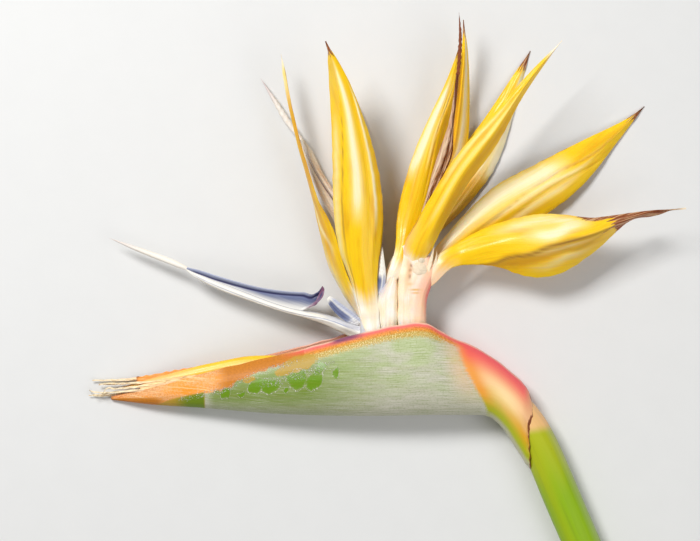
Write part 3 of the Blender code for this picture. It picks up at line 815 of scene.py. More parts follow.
def aged_material():
    """Shrinking pinkish-white petal with mauve and tan streaks."""
    look = bpy.context.scene.flower_colours
    paint = Paint("aged_petal")
    streaks = paint.noise(1.3, 0.035, 4.0)
    broad = paint.noise(0.25, 0.06, 2.0)
    grain = paint.noise(2.4, 1.6, 3.0)
    paint.skin = paint.mix(broad.step(0.35, 0.6) * 0.6, look.white, look.cream)
    paint.lay(streaks.step(0.48, 0.68) * 0.4, look.mauve)
    paint.lay(paint.layer("shade") * (0.6 + 0.6 * streaks), look.mauve)
    paint.lay(paint.layer("dry") * (0.5 + 0.8 * streaks), look.tan)
    paint.lay((paint.layer("dead") + (streaks - 0.5) * 0.6).step(0.3, 0.7), look.brown)
    roughness = 0.55 + 0.2 * grain
    return paint.done(roughness, paint.dent(streaks * 1.2 + grain * 0.4, 0.16))


def withered_material():
    """Dry papery tissue, from tan to nearly black, ribbed along its length."""
    look = bpy.context.scene.flower_colours
    paint = Paint("withered")
    streaks = paint.noise(1.7, 0.035, 5.0, 0.6)
    broad = paint.noise(0.3, 0.06, 2.0)
    grain = paint.noise(2.4, 2.0, 4.0)
    paint.skin = paint.mix(broad.step(0.35, 0.65) * 0.35, look.tan, look.mauve)
    paint.lay(streaks.step(0.48, 0.36) * 0.5, look.cream)
    paint.lay((streaks + paint.layer("dead") * 0.3).step(0.56, 0.70), look.brown)
    paint.lay((paint.layer("dead") + (grain - 0.5) * 0.5).step(0.35, 0.85), look.brown)
    paint.lay(paint.layer("bleach") * 0.8, look.cream)
    roughness = 0.66 + 0.2 * grain
    return paint.done(roughness, paint.dent(streaks * 1.3 + grain * 0.5, 0.22))


def style_material():
    """Creamy, faintly pink, with fine lengthwise lines."""
    look = bpy.context.scene.flower_colours
    paint = Paint("style")
    streaks = paint.noise(1.6, 0.05, 3.0)
    grain = paint.noise(2.6, 2.2, 3.0)
    paint.skin = paint.mix(streaks.step(0.45, 0.65) * 0.5, look.white, look.cream)
    paint.lay(paint.layer("flush") * 0.7, look.mauve)
    paint.lay(paint.layer("warm") * (0.55 + 0.5 * grain), look.cream)
    paint.lay(paint.layer("warm") * (0.10 + 0.3 * streaks), look.tan)
    paint.lay(paint.layer("grey") * (0.5 + grain), look.bloom_grey)
    paint.lay((paint.layer("dead") + (grain - 0.5) * 0.6).step(0.3, 0.7), look.brown)
    roughness = 0.5 + 0.2 * grain
    return paint.done(roughness, paint.dent(streaks + grain * 0.6, 0.12))


def bract_material():
    """Thin papery bract: straw, orange and brown, torn at its ends."""
    look = bpy.context.scene.flower_colours
    paint = Paint("bract", Coat_Weight=0.1, Coat_Roughness=0.3)
    streaks = paint.noise(1.8, 0.05, 4.0)
    broad = paint.noise(0.3, 0.06, 2.0)
    grain = paint.noise(2.4, 2.0, 3.0)
    paint.skin = paint.mix(streaks.step(0.42, 0.66), look.pale_yellow, look.tan)
    paint.lay(paint.layer("warm") * (0.6 + broad), look.orange)
    paint.lay(paint.layer("pale") * 0.8, look.cream)
    paint.lay((paint.layer("dry") + (streaks - 0.5) * 0.6).step(0.3, 0.7), look.brown)
    roughness = 0.5 + 0.22 * grain
    return paint.done(roughness, paint.dent(streaks * 1.2 + grain * 0.4, 0.15))


# ---------------------------------------------------------------- sepals

# For each sepal, with every line as (s, u) points from root to tip:
#   folds: line, depth, width and the side of the line that folds down
#   ridges: line, height and width, where a height below 0 makes a crease
#   paint: layer, line, strength and width. Besides real cream, flush, dry and bleach, these lay painted
#       highlights in pale yellow and cream, and painted shade in gold, olive and brown along folds, creases and
#       where one sepal shades another
#   raise, shift, wide, turn, bulge: (s, value) points that lift it, move it across, widen, twist and arch it
#   start and root: the s where it begins, and how much its foot widens
#   cream and flush: how far its cream root reaches, and how strong the flush on that is
#   dry and bleach: the s where its brown tip and its bleached tip begin, with 1.2 for none
#   wave and seed: how far its edges ripple, and the draws that they ripple by
SEPALS = {
    "flower_1_sepal_near": {
        "folds": [([
            (0, -0.9), (0.27, -0.76), (0.48, -0.71), (0.6, -0.62), (0.75, -0.44), (0.9, 0.05),
        ], 9, 0.1, -1)],
        "ridges": [
            ([(0, -0.86), (0.3, -0.74), (0.48, -0.68), (0.6, -0.58), (0.75, -0.4), (0.9, 0.1)], -0.35, 0.035),
            ([(0.2, 0.55), (0.43, 0.66), (0.62, 0.7), (0.78, 0.86)], 0.55, 0.14),
            ([(0.25, 0.1), (0.5, 0), (0.8, 0.1)], 0.35, 0.3),
        ],
        "paint": [
            ("pale", [(0.38, -0.12), (0.5, -0.06), (0.66, -0.02), (0.76, 0.08), (0.9, 0.05)], 1, 0.2),
            ("pale", [(0.34, 0.68), (0.5, 0.67), (0.64, 0.7), (0.8, 0.86)], 1, 0.06),
            ("pale", [(0.02, -0.97), (0.3, -0.9), (0.5, -0.88), (0.7, -0.8)], 0.5, 0.1),
            ("shade", [(0.3, 0.93), (0.45, 0.93), (0.6, 0.95)], 0.6, 0.08),
            ("umber", [(0.03, -0.8), (0.27, -0.72), (0.48, -0.67), (0.6, -0.58), (0.75, -0.4)], 0.8, 0.028),
            ("crease", [(0.05, -0.8), (0.27, -0.72), (0.48, -0.67), (0.6, -0.58), (0.75, -0.4)], 0.35, 0.02),
        ],
        "raise": ((-0.07, 3.8), (0, 1.7), (0.04, 0.5), (0.09, 0)),
        "shift": ((-0.07, 1.4), (0, 0.5), (0.06, 0)),
        "wide": ((-0.07, 1.35), (0, 1.1), (0.05, 1)),
        "start": -0.07, "flush": 0.1, "cream": 0.085, "dry": 0.955, "wave": 0.12, "seed": 3,
    },
    "flower_1_sepal_median": {
        "folds": [],
        "raise": (
            (0, 0.2), (0.1, 0.7), (0.2, 0.9), (0.3, 0.5), (0.38, 0.8), (0.46, 1.2), (0.6, 0.9), (0.8, 0.4),
            (1, 0),
        ),
        "turn": ((0.36, 0), (0.46, 0.17), (0.6, 0.15), (0.75, 0.1), (0.9, 0)),
        "bulge": ((0, 1), (0.3, 0.8), (0.45, 0.2)),
        "wide": ((0, 1), (0.06, 1.15), (0.3, 1.12), (0.42, 1)),
        "shift": ((0, 0), (0.08, 0.6), (0.3, 0.5), (0.42, 0)),
        "ridges": [
            ([(0.05, -0.2), (0.3, 0.2), (0.42, -0.2), (0.7, -0.2)], -0.3, 0.12),
            ([(0.2, 0.6), (0.5, 0.5), (0.85, 0.3)], 0.2, 0.2),
        ],
        "paint": [
            ("pale", [(0.27, 0.5), (0.38, -0.3), (0.5, -0.4)], 0.7, 0.16),
            ("pale", [(0.06, -0.3), (0.14, -0.4), (0.24, -0.5)], 0.7, 0.6),
            ("shade", [(0.2, 0.3), (0.4, 0.2), (0.6, 0.3)], 0.9, 0.4),
            ("shade", [(0.5, 0.8), (0.7, 0.8), (0.9, 0.6)], 1, 0.6),
            ("pale", [(0.84, 0), (0.95, 0)], 0.7, 1.5),
        ],
        "cream": 0.09, "dry": 1.2, "bleach": 0.95, "wave": 0.1, "seed": 5,
    },
    "flower_1_sepal_far": {
        "folds": [([(0, 0), (1, 0)], 1.5, 0.4, 1)],
        "ridges": [([(0.1, 0.3), (0.9, 0.2)], -0.3, 0.12)],
        "paint": [("shade", [(0.1, -0.5), (0.8, -0.4)], 0.7, 0.3)],
        "cream": 0.12, "dry": 0.95, "wave": 0.2, "seed": 7,
    },
    "flower_2_sepal_left": {
        "folds": [([(0.3, 0.75), (0.5, 0.55), (0.62, 0.4), (0.85, 0.7)], 2.5, 0.2, 1)],
        "ridges": [
            ([(0.35, 0.6), (0.51, 0.43), (0.62, 0.25), (0.73, 0.31), (0.85, 0.7)], -0.35, 0.06),
            ([(0.4, 0.35), (0.6, 0.02), (0.8, 0.1)], -0.2, 0.05),
            ([(0.3, -0.3), (0.6, -0.5), (0.9, -0.3)], 0.5, 0.25),
        ],
        "paint": [
            ("pale", [(0.44, -0.7), (0.52, -0.6), (0.59, -0.56), (0.7, -0.53), (0.84, -0.33)], 1.15, 0.32),
            ("pale", [(0.5, 0.25), (0.62, 0.1), (0.85, 0.45)], 0.5, 0.1),
            ("shade", [(0.3, -0.3), (0.41, -0.32), (0.5, -0.3)], 0.5, 0.2),
            ("shade", [(0.4, 0.62), (0.51, 0.45), (0.62, 0.3), (0.85, 0.75)], 0.7, 0.06),
            ("crease", [(0.32, 0.62), (0.51, 0.42), (0.62, 0.26), (0.73, 0.32)], 0.4, 0.025),
        ],
        "shift": ((0, 1.2), (0.05, 1), (0.2, 0)),
        "raise": ((-0.06, 0.7), (0, 1.8), (0.06, 1.7), (0.2, 0)),
        "wide": ((-0.06, 0.7), (0.02, 0.85), (0.12, 1)),
        "start": -0.06, "cream": 0.075, "dry": 0.97, "wave": 0.12, "seed": 11,
    },
    "flower_2_sepal_right": {
        "folds": [([(0.3, 0.1), (0.6, -0.1), (0.9, 0)], 3, 0.2, 1)],
        "ridges": [
            ([(0.4, -0.2), (0.6, -0.35), (0.85, -0.3)], -0.35, 0.08),
            ([(0.45, 0.5), (0.7, 0.45), (0.9, 0.3)], 0.35, 0.15),
        ],
        "paint": [
            ("shade", [(0.35, -0.3), (0.55, -0.35), (0.8, -0.5)], 1, 0.3),
            ("pale", [(0.46, 0.4), (0.55, 0.45), (0.63, 0.5), (0.86, 0.45), (0.96, 0.3)], 1, 0.22),
            ("shade", [(0.5, 0.05), (0.85, 0)], 0.7, 0.08),
        ],
        "cream": 0.1, "dry": 0.95, "wave": 0.1, "seed": 13,
    },
    "flower_2_sepal_far": {
        "folds": [([(0.2, 0.7), (0.45, 0.55), (0.7, 0.6), (0.9, 0.4)], 2.5, 0.25, 1)],
        "ridges": [
            ([(0.25, 0.3), (0.5, 0.35), (0.75, 0.5)], 0.5, 0.12),
            ([(0.3, 0), (0.6, -0.1), (0.85, 0)], -0.3, 0.08),
        ],
        "paint": [
            ("pale", [(0.52, 0.9), (0.64, 0.9), (0.8, 0.85), (0.9, 0.6)], 1.5, 0.36),
            ("pale", [(0.5, 0.3), (0.6, 0.2), (0.7, 0.3)], 1.1, 0.25),
            ("shade", [(0.1, 0.8), (0.25, 0.75), (0.42, 0.4), (0.56, 0.75)], 1, 0.45),
            ("umber", [(0.12, 0.6), (0.25, 0.75), (0.38, 0.6), (0.44, 0.7)], 0.85, 0.35),
            ("shade", [(0.75, 0.2), (0.95, 0)], 0.4, 0.3),
        ],
        "cream": 0.08, "dry": 0.93, "wave": 0.12, "seed": 17,
    },
    "flower_3_sepal_top": {
        "folds": [([(0.1, 0.4), (0.3, 0.25), (0.46, 0.1), (0.65, 0.2), (0.85, 0.3)], 2.8, 0.25, 1)],
        "ridges": [
            ([(0.1, -0.3), (0.28, -0.4), (0.54, -0.5), (0.79, -0.1)], -0.25, 0.09),
            ([(0.15, -0.75), (0.5, -0.8), (0.75, -0.5)], 0.3, 0.12),
            ([(0.15, 0.3), (0.46, 0), (0.65, 0.1), (0.9, 0.1)], 0.35, 0.14),
        ],
        "paint": [
            ("pale", [(0.35, -0.7), (0.55, -0.75), (0.7, -0.5)], 0.45, 0.15),
            ("pale", [(0.2, -0.1), (0.5, -0.2), (0.75, 0.1)], 0.35, 0.14),
            ("shade", [(0.2, 0.6), (0.4, 0.5), (0.55, 0.6), (0.7, 0.7)], 0.65, 0.3),
            ("shade", [(0.15, -0.35), (0.5, -0.52), (0.75, -0.15)], 0.7, 0.05),
            ("flush", [(-0.05, -0.8), (0.05, -0.9), (0.14, -0.95)], 0.6, 0.45),
            ("umber", [(0.06, 0.75), (0.15, 0.8), (0.3, 0.85), (0.4, 0.95)], 0.55, 0.28),
            ("crease", [(0.09, -0.97), (0.19, -0.98)], 0.95, 0.05),
        ],
        "shift": ((0, -0.4), (0.05, -0.5), (0.16, 0)),
        "wide": ((-0.05, 0.6), (0.02, 1), (0.08, 1.08), (0.16, 1)),
        "raise": ((-0.05, -1.6), (0, -0.6), (0.06, 0)),
        "cream": 0.05, "dry": 1.2, "bleach": 0.93, "wave": 0.12, "seed": 19,
    },
    "flower_3_sepal_middle": {
        "folds": [([(0.1, 0.2), (0.47, -0.1), (0.78, 0.2)], 1.6, 0.3, 1)],
        "ridges": [
            ([(0.2, 0.25), (0.37, 0.11), (0.47, -0.1), (0.59, -0.14), (0.78, 0.32)], -0.5, 0.06),
            ([(0.3, 0.55), (0.39, 0.46), (0.49, 0.3), (0.61, 0.3), (0.77, 0.9)], -0.4, 0.05),
            ([(0.2, -0.4), (0.5, -0.55), (0.8, -0.2)], 0.5, 0.22),
            ([(0.4, 0.3), (0.55, 0.1), (0.7, 0.45)], 0.3, 0.1),
        ],
        "paint": [
            ("pale", [(0.06, -0.6), (0.14, -0.6), (0.34, -0.6), (0.5, -0.5), (0.62, -0.4)], 0.9, 0.45),
            ("pale", [(0.3, 0.15), (0.42, 0.1), (0.55, 0.05), (0.7, 0.35)], 0.6, 0.1),
            ("pale", [(0.36, 0.6), (0.5, 0.45), (0.62, 0.5)], 0.6, 0.12),
            ("shade", [(0.5, -0.2), (0.6, -0.2), (0.78, 0.25), (0.9, 0)], 0.7, 0.08),
            ("shade", [(0.7, -0.2), (0.85, -0.1), (0.95, 0)], 0.5, 0.35),
            ("shade", [(0.2, 0.3), (0.37, 0.16), (0.47, -0.04)], 0.6, 0.06),
            ("crease", [(0.24, 0.22), (0.37, 0.1), (0.47, -0.11), (0.59, -0.15), (0.74, 0.2)], 0.3, 0.02),
            ("dry", [(0.4, -1), (0.5, -1.03), (0.65, -1.02), (0.72, -1)], 0.62, 0.07),
        ],
        "cream": 0.07, "dry": 0.94, "wave": 0.15, "seed": 23,
    },
    "flower_3_sepal_low": {
        "folds": [([
            (0.22, 1), (0.25, 0.9), (0.33, 0.5), (0.4, 0.35), (0.46, 0.18), (0.53, 0.12), (0.72, 0.2),
        ], 7.5, 0.07, 1)],
        "ridges": [
            ([
                (0.22, 1), (0.25, 0.91), (0.33, 0.51), (0.4, 0.36), (0.46, 0.19), (0.53, 0.13), (0.7, 0.2),
            ], -0.5, 0.035),
            ([(0.2, 0.1), (0.45, -0.4), (0.62, -0.5)], 0.6, 0.3),
            ([(0.4, 0.75), (0.5, 0.6), (0.6, 0.7)], 0.5, 0.1),
            ([(0.7, 0), (0.85, 0.1), (1, 0)], -0.3, 0.3),
        ],
        "paint": [
            ("pale", [(0.42, -0.25), (0.5, -0.22), (0.56, -0.4), (0.6, -0.5)], 1, 0.22),
            ("pale", [(0.3, -0.6), (0.45, -0.75), (0.62, -0.7)], 0.65, 0.22),
            ("pale", [(0.42, 0.35), (0.5, 0.3), (0.62, 0.34)], 0.5, 0.06),
            ("pale", [(0.44, 0.75), (0.52, 0.62), (0.6, 0.7)], 0.5, 0.1),
            ("shade", [(0.23, 1), (0.33, 0.72), (0.4, 0.55), (0.47, 0.38), (0.6, 0.32)], 1, 0.16),
            ("umber", [
                (0.22, 1), (0.25, 0.92), (0.33, 0.54), (0.4, 0.39), (0.46, 0.22), (0.53, 0.16), (0.7, 0.24),
            ], 1, 0.075),
            ("crease", [
                (0.22, 1), (0.25, 0.92), (0.33, 0.53), (0.4, 0.38), (0.46, 0.21), (0.53, 0.15),
                (0.68, 0.22),
            ], 0.6, 0.05),
            ("umber", [(0.23, 1), (0.3, 0.82), (0.38, 0.62), (0.46, 0.4), (0.56, 0.3)], 0.3, 0.12),
            ("umber", [(0.52, 0.42), (0.58, 0.52), (0.64, 0.45)], 0.6, 0.08),
            ("shade", [(0.56, 0.6), (0.66, 0.5)], 0.5, 0.25),
            ("dry", [(0.6, -1.1), (0.66, -1), (0.72, -0.9)], 1, 0.35),
            ("dry", [(0.64, 0.45), (0.7, 0.3), (0.74, 0.2)], 0.6, 0.14),
            ("flush", [(-0.06, 0.9), (0.02, 0.8), (0.07, 0.8)], 0.6, 0.8),
            ("flush", [(-0.06, -0.2), (0.02, -0.2), (0.06, -0.2)], 0.5, 1.2),
        ],
        "wide": ((-0.06, 1.2), (0.03, 1.1), (0.12, 0.97), (0.2, 1)),
        "shift": ((0, 0), (0.06, -0.5), (0.16, 0)),
        "raise": ((-0.06, 1), (-0.01, 2.6), (0.05, 2.4), (0.16, 0)),
        "root": 0, "start": -0.06, "cream": 0.075, "dry": 0.73, "bleach": 0.975, "wave": 0.15, "seed": 29,
    },
}


def sepal(name, plan, material):
    """One sepal, with its folds, ridges, painted layers, root and tip."""
    sizes = bpy.context.scene.flower_sizes
    run = Run(name, middle_of("flower_2_base"))
    blade = Blade(run, sizes.blade_rows, sizes.blade_columns, root=plan.get("start", -0.05))
    s, u = blade.s, blade.u
    for line, depth, width, side in plan["folds"]:
        past = blade.beyond(line, width, side)
        blade.lift -= depth * past * ramp(s, line[0][0] - 0.05, line[0][0] + 0.15) * (1 - ramp(s, 0.8, 1.0))
    for line, height, width in plan["ridges"]:
        blade.lift += height * blade.line(line, width, 0.08)
    # Rippling edges, fine veins and a widened foot.
    seed = plan["seed"]
    blade.lift += plan["wave"] * ripple(s * 6, u, seed) * np.abs(u) ** 3 * ramp(s, 0.05, 0.3)
    veins = np.cos(u * 21 + ripple(s * 3, u * 0, seed + 1))
    blade.lift += 0.035 * veins * ramp(s, 0.05, 0.25) * (1 - ramp(s, 0.85, 1.0))
    blade.width *= 1 + 0.012 * ripple(s * 9, 0 * s, seed + 2)
    blade.width *= 1 + plan.get("root", 0.3) * (1 - ramp(s, 0.0, 0.16))
    blade.bend(plan)
    # A dried tip is brown, wrinkled and twisted.
    dry = plan["dry"]
    if dry < 1:
        shrink = ramp(s, dry - 0.03, 1.0)
        blade.lift += 0.25 * shrink * np.sin(u * 9 + s * 40)
        blade.turn += 0.7 * shrink * np.sin(s * 18 + seed)
        blade.paint("dry", ramp(s + 0.02 * ripple(s * 0, u * 3, seed + 3), dry - 0.03, dry + 0.02))
    for layer, line, strength, width in plan["paint"]:
        blade.paint(layer, strength * blade.line(line, width, 0.07))
    cream = plan["cream"]
    tongue = s + 0.4 * cream * (1 - u**2)
    blade.paint("cream", 1 - ramp(tongue, 0.2 * cream, 1.9 * cream))
    blade.paint("flush", plan.get("flush", 0.5) * (1 - ramp(s, 0.0, cream)) * np.abs(u) ** 2)
    if "bleach" in plan:
        blade.paint("bleach", ramp(s, plan["bleach"] - 0.03, plan["bleach"] + 0.03))
    shell = blade.rings(sizes.sepal_rim, sizes.sepal_spine)
    piece(name, [shell], material)


# ---------------------------------------------------------------- spathe

# Lines that the spathe is read along, from the beak's tip to the sheath's end: where each crosses the top and
# the foot of the spathe's box, in millimetres from the box's low x side. They turn with the neck.
SPATHE_LINES = (
    (0.8, 0.8), (48.3, 48.3), (108.3, 108.3), (118.7, 126.4), (124.9, 135.6), (132.8, 139.6),
    (141.9, 139.9), (152.9, 139.9), (159.8, 143.8), (161.2, 150.1), (158.9, 156.2),
)
# Cuts read along the spathe, and the rows and columns of each of its two faces.
SPATHE_READINGS = 101
SPATHE_ROWS = 260
SPATHE_COLUMNS = 81
# Where the waxy grey ends and the warm neck begins: rise from the keel, and the line's number.
NECK_START = ((0, 6), (0.1, 5.9), (0.33, 5.25), (0.6, 4.67), (0.95, 4.38))
# How deep the orange of the beak reaches below the margin: millimetres from the tip, and millimetres down.
BEAK_DEPTH = (
    (8, 30), (13, 10), (18, 7.4), (24, 6.8), (36, 7.6), (44, 8), (50, 5.8),
    (57, 4.6), (64, 4), (72.5, 3.8), (73, -3),
)
# How far the sheath's torn end stands past its last line, in millimetres, over its rise.
SHEATH_END = ((0, 0.6), (0.25, -0.8), (0.42, -1.9), (0.58, -1.2), (0.75, 1.6), (0.9, 2.4), (1, 0.4))
# Patches where the wax is rubbed off, and then those that are olive: millimetres from the tip, millimetres
# below the margin, and how far they reach both ways.
RUBBED = (
    (54.8, 9.8, 2.4, 2.1), (60.4, 10.8, 3.2, 2.5), (70.8, 10.8, 2.8, 3.6), (76.8, 13, 2.8, 3),
    (78.8, 8.6, 2.1, 1.6), (43.8, 9.6, 1.6, 1.9), (66.4, 13.6, 1.2, 0.9), (84.5, 12.2, 1.2, 1.7),
    (49.6, 11.4, 1.3, 0.8), (57.5, 8.2, 1.6, 1), (67.4, 9.4, 1.2, 1.6),
)
OLIVE_PATCHES = ((52.4, 6.6, 2.4, 1.2), (71, 5, 6.6, 3), (66, 6.2, 4, 2))


def spathe_readings():
    """The spathe read at even steps: keel, margin, middle height, half thickness, half opening and line.

    The length of the reading and the x of the beak's tip come with it.
    """
    corners = corners_of("spathe")
    low, high = (np.array(corner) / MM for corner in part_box("spathe"))
    lines = np.linspace(0, len(SPATHE_LINES) - 1, SPATHE_READINGS)
    heads, feet = (curve(lines, list(enumerate(column))) for column in zip(*SPATHE_LINES))
    rows = []
    for line, head_x, foot_x in zip(lines, heads, feet):
        foot = np.array((low[0] + foot_x, low[1], 0.0))
        up = unit(np.array((low[0] + head_x, high[1], 0.0)) - foot)
        points = cut(corners, foot, np.cross(up, UP))
        rise, level = (points - foot) @ up, points[:, 2]
        middle = (level.max() + level.min()) / 2
        opening = np.abs(level[rise > rise.max() - 0.3] - middle).max()
        keel, margin = foot + up * rise.min(), foot + up * rise.max()
        rows.append((*keel[:2], *margin[:2], middle, np.ptp(level) / 2, opening, line))
    rows = np.array(rows)
    rows[2:-2] = (rows[:-4] + 2 * rows[1:-3] + 3 * rows[2:-2] + 2 * rows[3:-1] + rows[4:]) / 9
    middles = (rows[:, 0:2] + rows[:, 2:4]) / 2
    reach = np.concatenate(([0.0], np.cumsum(np.linalg.norm(np.diff(middles, axis=0), axis=1))))
    even = np.linspace(0.0, reach[-1], SPATHE_READINGS)
    return np.stack([np.interp(even, reach, column) for column in rows.T], axis=1), reach[-1], low[0]


def patches(table, x, below):
    """1 inside any patch of the table, a half at its edge and 0 outside."""
    masks = [1 - 0.5 * (((x - px) / rx) ** 2 + ((below - py) / ry) ** 2) for px, py, rx, ry in table]
    return np.clip(np.max(masks, axis=0), 0.0, 1.0)


def spathe_layers(line, x, rise, below):
    """The spathe's painted layers, from each place's line, x, rise and distance below the margin."""
    start = curve(rise, NECK_START)
    deep = eased(x, BEAK_DEPTH)
    neck = ramp(line - start, -0.5, 0.5)
    window = ramp(x, 62, 80) * (1 - ramp(x, 118, 130))
    beak = 1 - ramp(below - deep + 0.6 * ripple(x / 9, below / 9, 38), -1.2, 1.2)
    low_zone = ramp(below - deep, -1.5, 0.3) * (1 - ramp(x, 35.6, 36.4))
    crust = bell(below, deep + 0.2, 1.3) * ramp(x, 22, 30) * (1 - ramp(x, 66, 76))
    belt = ramp(x, 50, 60) * (1 - ramp(x, 80, 94)) * ramp(below, 5, 8) * (1 - ramp(below, 10, 13))
    ember = (1 - ramp(rise, 0.2, 0.65)) * (1 - ramp(x, 14, 26))
    ember = ember + 0.9 * ramp(x, 34, 48) * (1 - ramp(x, 73, 75))
    green = ramp(x, 36, 40) * (1 - ramp(x, 70, 110)) * ramp(below, 3, 7)
    strayed = [0.5 * ripple(x / 9, below / 9, seed) for seed in (35, 36)]
    return {
        "rise": rise,
        "lip": below,
        "inner": 0.0 * x,
        "neck": neck,
        "beak": beak,
        "ember": np.clip(ember, 0.0, 1.0),
        "honey": low_zone * ramp(x, 9, 17),
        "under": low_zone * ramp(x, 18, 33),
        "green": green * (1 - 0.5 * ramp(rise, 0.3, 0.0)),
        "dusk": 0.7 * ramp(line, 3.2, 4.6) * (1 - neck) * ramp(rise, 0.05, 0.6),
        "band": bell(below, 3.4, 2.0) * window,
        "warm": bell(below, 2.0, 1.4) * ramp(x, 50, 66) * (1 - ramp(x, 126, 136)),
        "red": ramp(x, 62, 76) * (1 - ramp(line, 7.4, 8.4)),
        "wet": patches(RUBBED, x + strayed[0], below + strayed[1]),
        "umber": patches(OLIVE_PATCHES, x, below + 0.5 * ripple(x / 9, below / 5, 37)),
        "sugar": np.clip(crust + 0.6 * belt + 0.3 * window * (1 - ramp(below, 3, 8)), 0.0, 1.0),
        "edge": bell(line, start + 0.3, 0.6) * ramp(rise, 0.15, 0.4),
        # A painted highlight along the middle of the neck.
        "glow": 0.55 * bell(line, 7.0, 1.6) * bell(rise, 0.5, 0.2),
        "ash": 0.8 * neck * (1 - ramp(rise, 0.03, 0.12)),
        "blush": ramp(line, 4.1, 5.0) * (1 - ramp(line, 8.2, 9.6)) * ramp(rise, 0.60, 0.93),
        "dark": (1 - ramp(x, 90, 97)) * ramp(x, 81, 86) * (1 - ramp(below, 0.8, 2.2)),
        "dry": 0.6 * ramp(line + 0.4 * ramp(rise, 0.35, 0.65), 9.86, 9.93) + 0.5 * (1 - ramp(x, 0.5, 2.0))
        + 0.75 * ramp(line, 8.9, 9.2) * (1 - ramp(below, 0.7, 1.5)),
    }


def spathe(material):
    """The boat-shaped spathe: a thin folded shell from its beak to the sheath round the stem."""
    sizes = bpy.context.scene.flower_sizes
    readings, length, low_x = spathe_readings()
    at = np.linspace(0.0, 1.0, SPATHE_ROWS)
    rows = carried(readings, at)
    keel, margin, line = rows[:, 0:2], rows[:, 2:4], rows[:, 7][:, None]
    middle, half, opening = (rows[:, k][:, None] for k in (4, 5, 6))
    height = np.linalg.norm(margin - keel, axis=1)[:, None]
    last = math.pi - np.arcsin(np.minimum(opening / half, 0.97))
    even = np.linspace(-1.0, 1.0, SPATHE_COLUMNS)[None, :]
    # The columns stand closer together near the two margins.
    turn = last * (0.6 * even + 0.4 * np.sin(even * math.pi / 2))
    rise = (1.0 - np.cos(turn)) / (1.0 - np.cos(last))
    s = at[:, None]
    from_keel = np.abs(turn / last)
    slim = np.minimum(half / 6, 1)
    # p goes from the keel to the margin, and q from the middle outwards. The margins ripple, the far one
    # stands up behind the near one, and the sheath hugs the stem.
    frill = 0.16 * ripple(s * 7, np.sign(turn), 31) * from_keel**14
    far = 0.9 * (turn > 0) * ramp(line, 0.9, 1.2) * (1 - ramp(line, 1.9, 2.3)) * from_keel**10
    hug = 1 - (0.10 + 0.09 * ramp(rise, 0.4, 1.0)) * ramp(line, 8.4, 10.0) - 0.10 * ramp(line, 9.6, 10.0)
    p = height / 2 + (height * rise + frill * slim + far - height / 2) * hug
    q = -half * np.sin(turn) * (1 + 0.02 * ripple(s * 3, rise, 32))
    q = (q - 0.1 * np.sign(turn) * ripple(s * 2, rise * 9, 33, 2, 3)) * hug
    # The inner face lies a wall's thickness inside the outer one.
    run_p, run_q = np.gradient(p, axis=1), np.gradient(q, axis=1)
    size = np.hypot(run_p, run_q)
    wall = sizes.spathe_lip + (sizes.spathe_wall - sizes.spathe_lip) * (1 - from_keel**5)
    wall = wall * slim**0.7 * (1 - 0.75 * ramp(line, 8.6, 9.9))
    inner_p, inner_q = p - run_q / size * wall, q + run_p / size * wall
    chord = unit(margin - keel)
    ahead = unit(np.gradient((keel + margin) / 2, axis=0))
    torn = curve(rise, SHEATH_END) + 0.35 * ripple(rise * 3, even, 34)
    torn = torn * ramp(line, 8.6, 10.0)
    faces = []
    for place, lift in ((p, q), (inner_p, inner_q)):
        flat = keel[:, None] + chord[:, None] * place[..., None] + ahead[:, None] * torn[..., None]
        faces.append(rested(np.concatenate((flat, (middle + lift)[..., None]), axis=2)))
    x = faces[0][..., 0] - low_x
    layers = spathe_layers(np.broadcast_to(line, x.shape), x, rise, height * (1 - rise))
    layers = {key: folded(values, values) for key, values in layers.items()}
    layers["inner"][:, SPATHE_COLUMNS:] = 1.0
    reach = np.cumsum(size, axis=1)
    flow = stacked(reach - reach[:, -1:] / 2, s * length, 0 * reach)
    layers["flow"] = folded(flow, flow)
    piece("spathe", [(folded(*faces), layers)], material, ends=strip)


# ---------------------------------------------------------------- stem, bases and beak


def lengthened(layers, steps):
    """The layers with their last row repeated for as many more rings."""
    return {key: np.concatenate((held, np.repeat(held[-1:], steps, axis=0))) for key, held in layers.items()}


def rounded_end(rings, layers, depth):
    """The shell with a domed end added, which stands out by `depth`."""
    middle = rings[-1].mean(axis=0)
    ahead = unit(middle - rings[-2].mean(axis=0))
    steps = 5
    turns = np.linspace(0.0, math.pi / 2, steps + 1)[1:, None, None] * 0.96
    extra = middle + (rings[-1] - middle) * np.cos(turns) + ahead * depth * np.sin(turns)
    full = lengthened(layers, steps)
    full["flow"][-steps:, :, 1] += np.linspace(0.1, 1.0, steps)[:, None] * depth
    return np.concatenate((rings, extra)), full


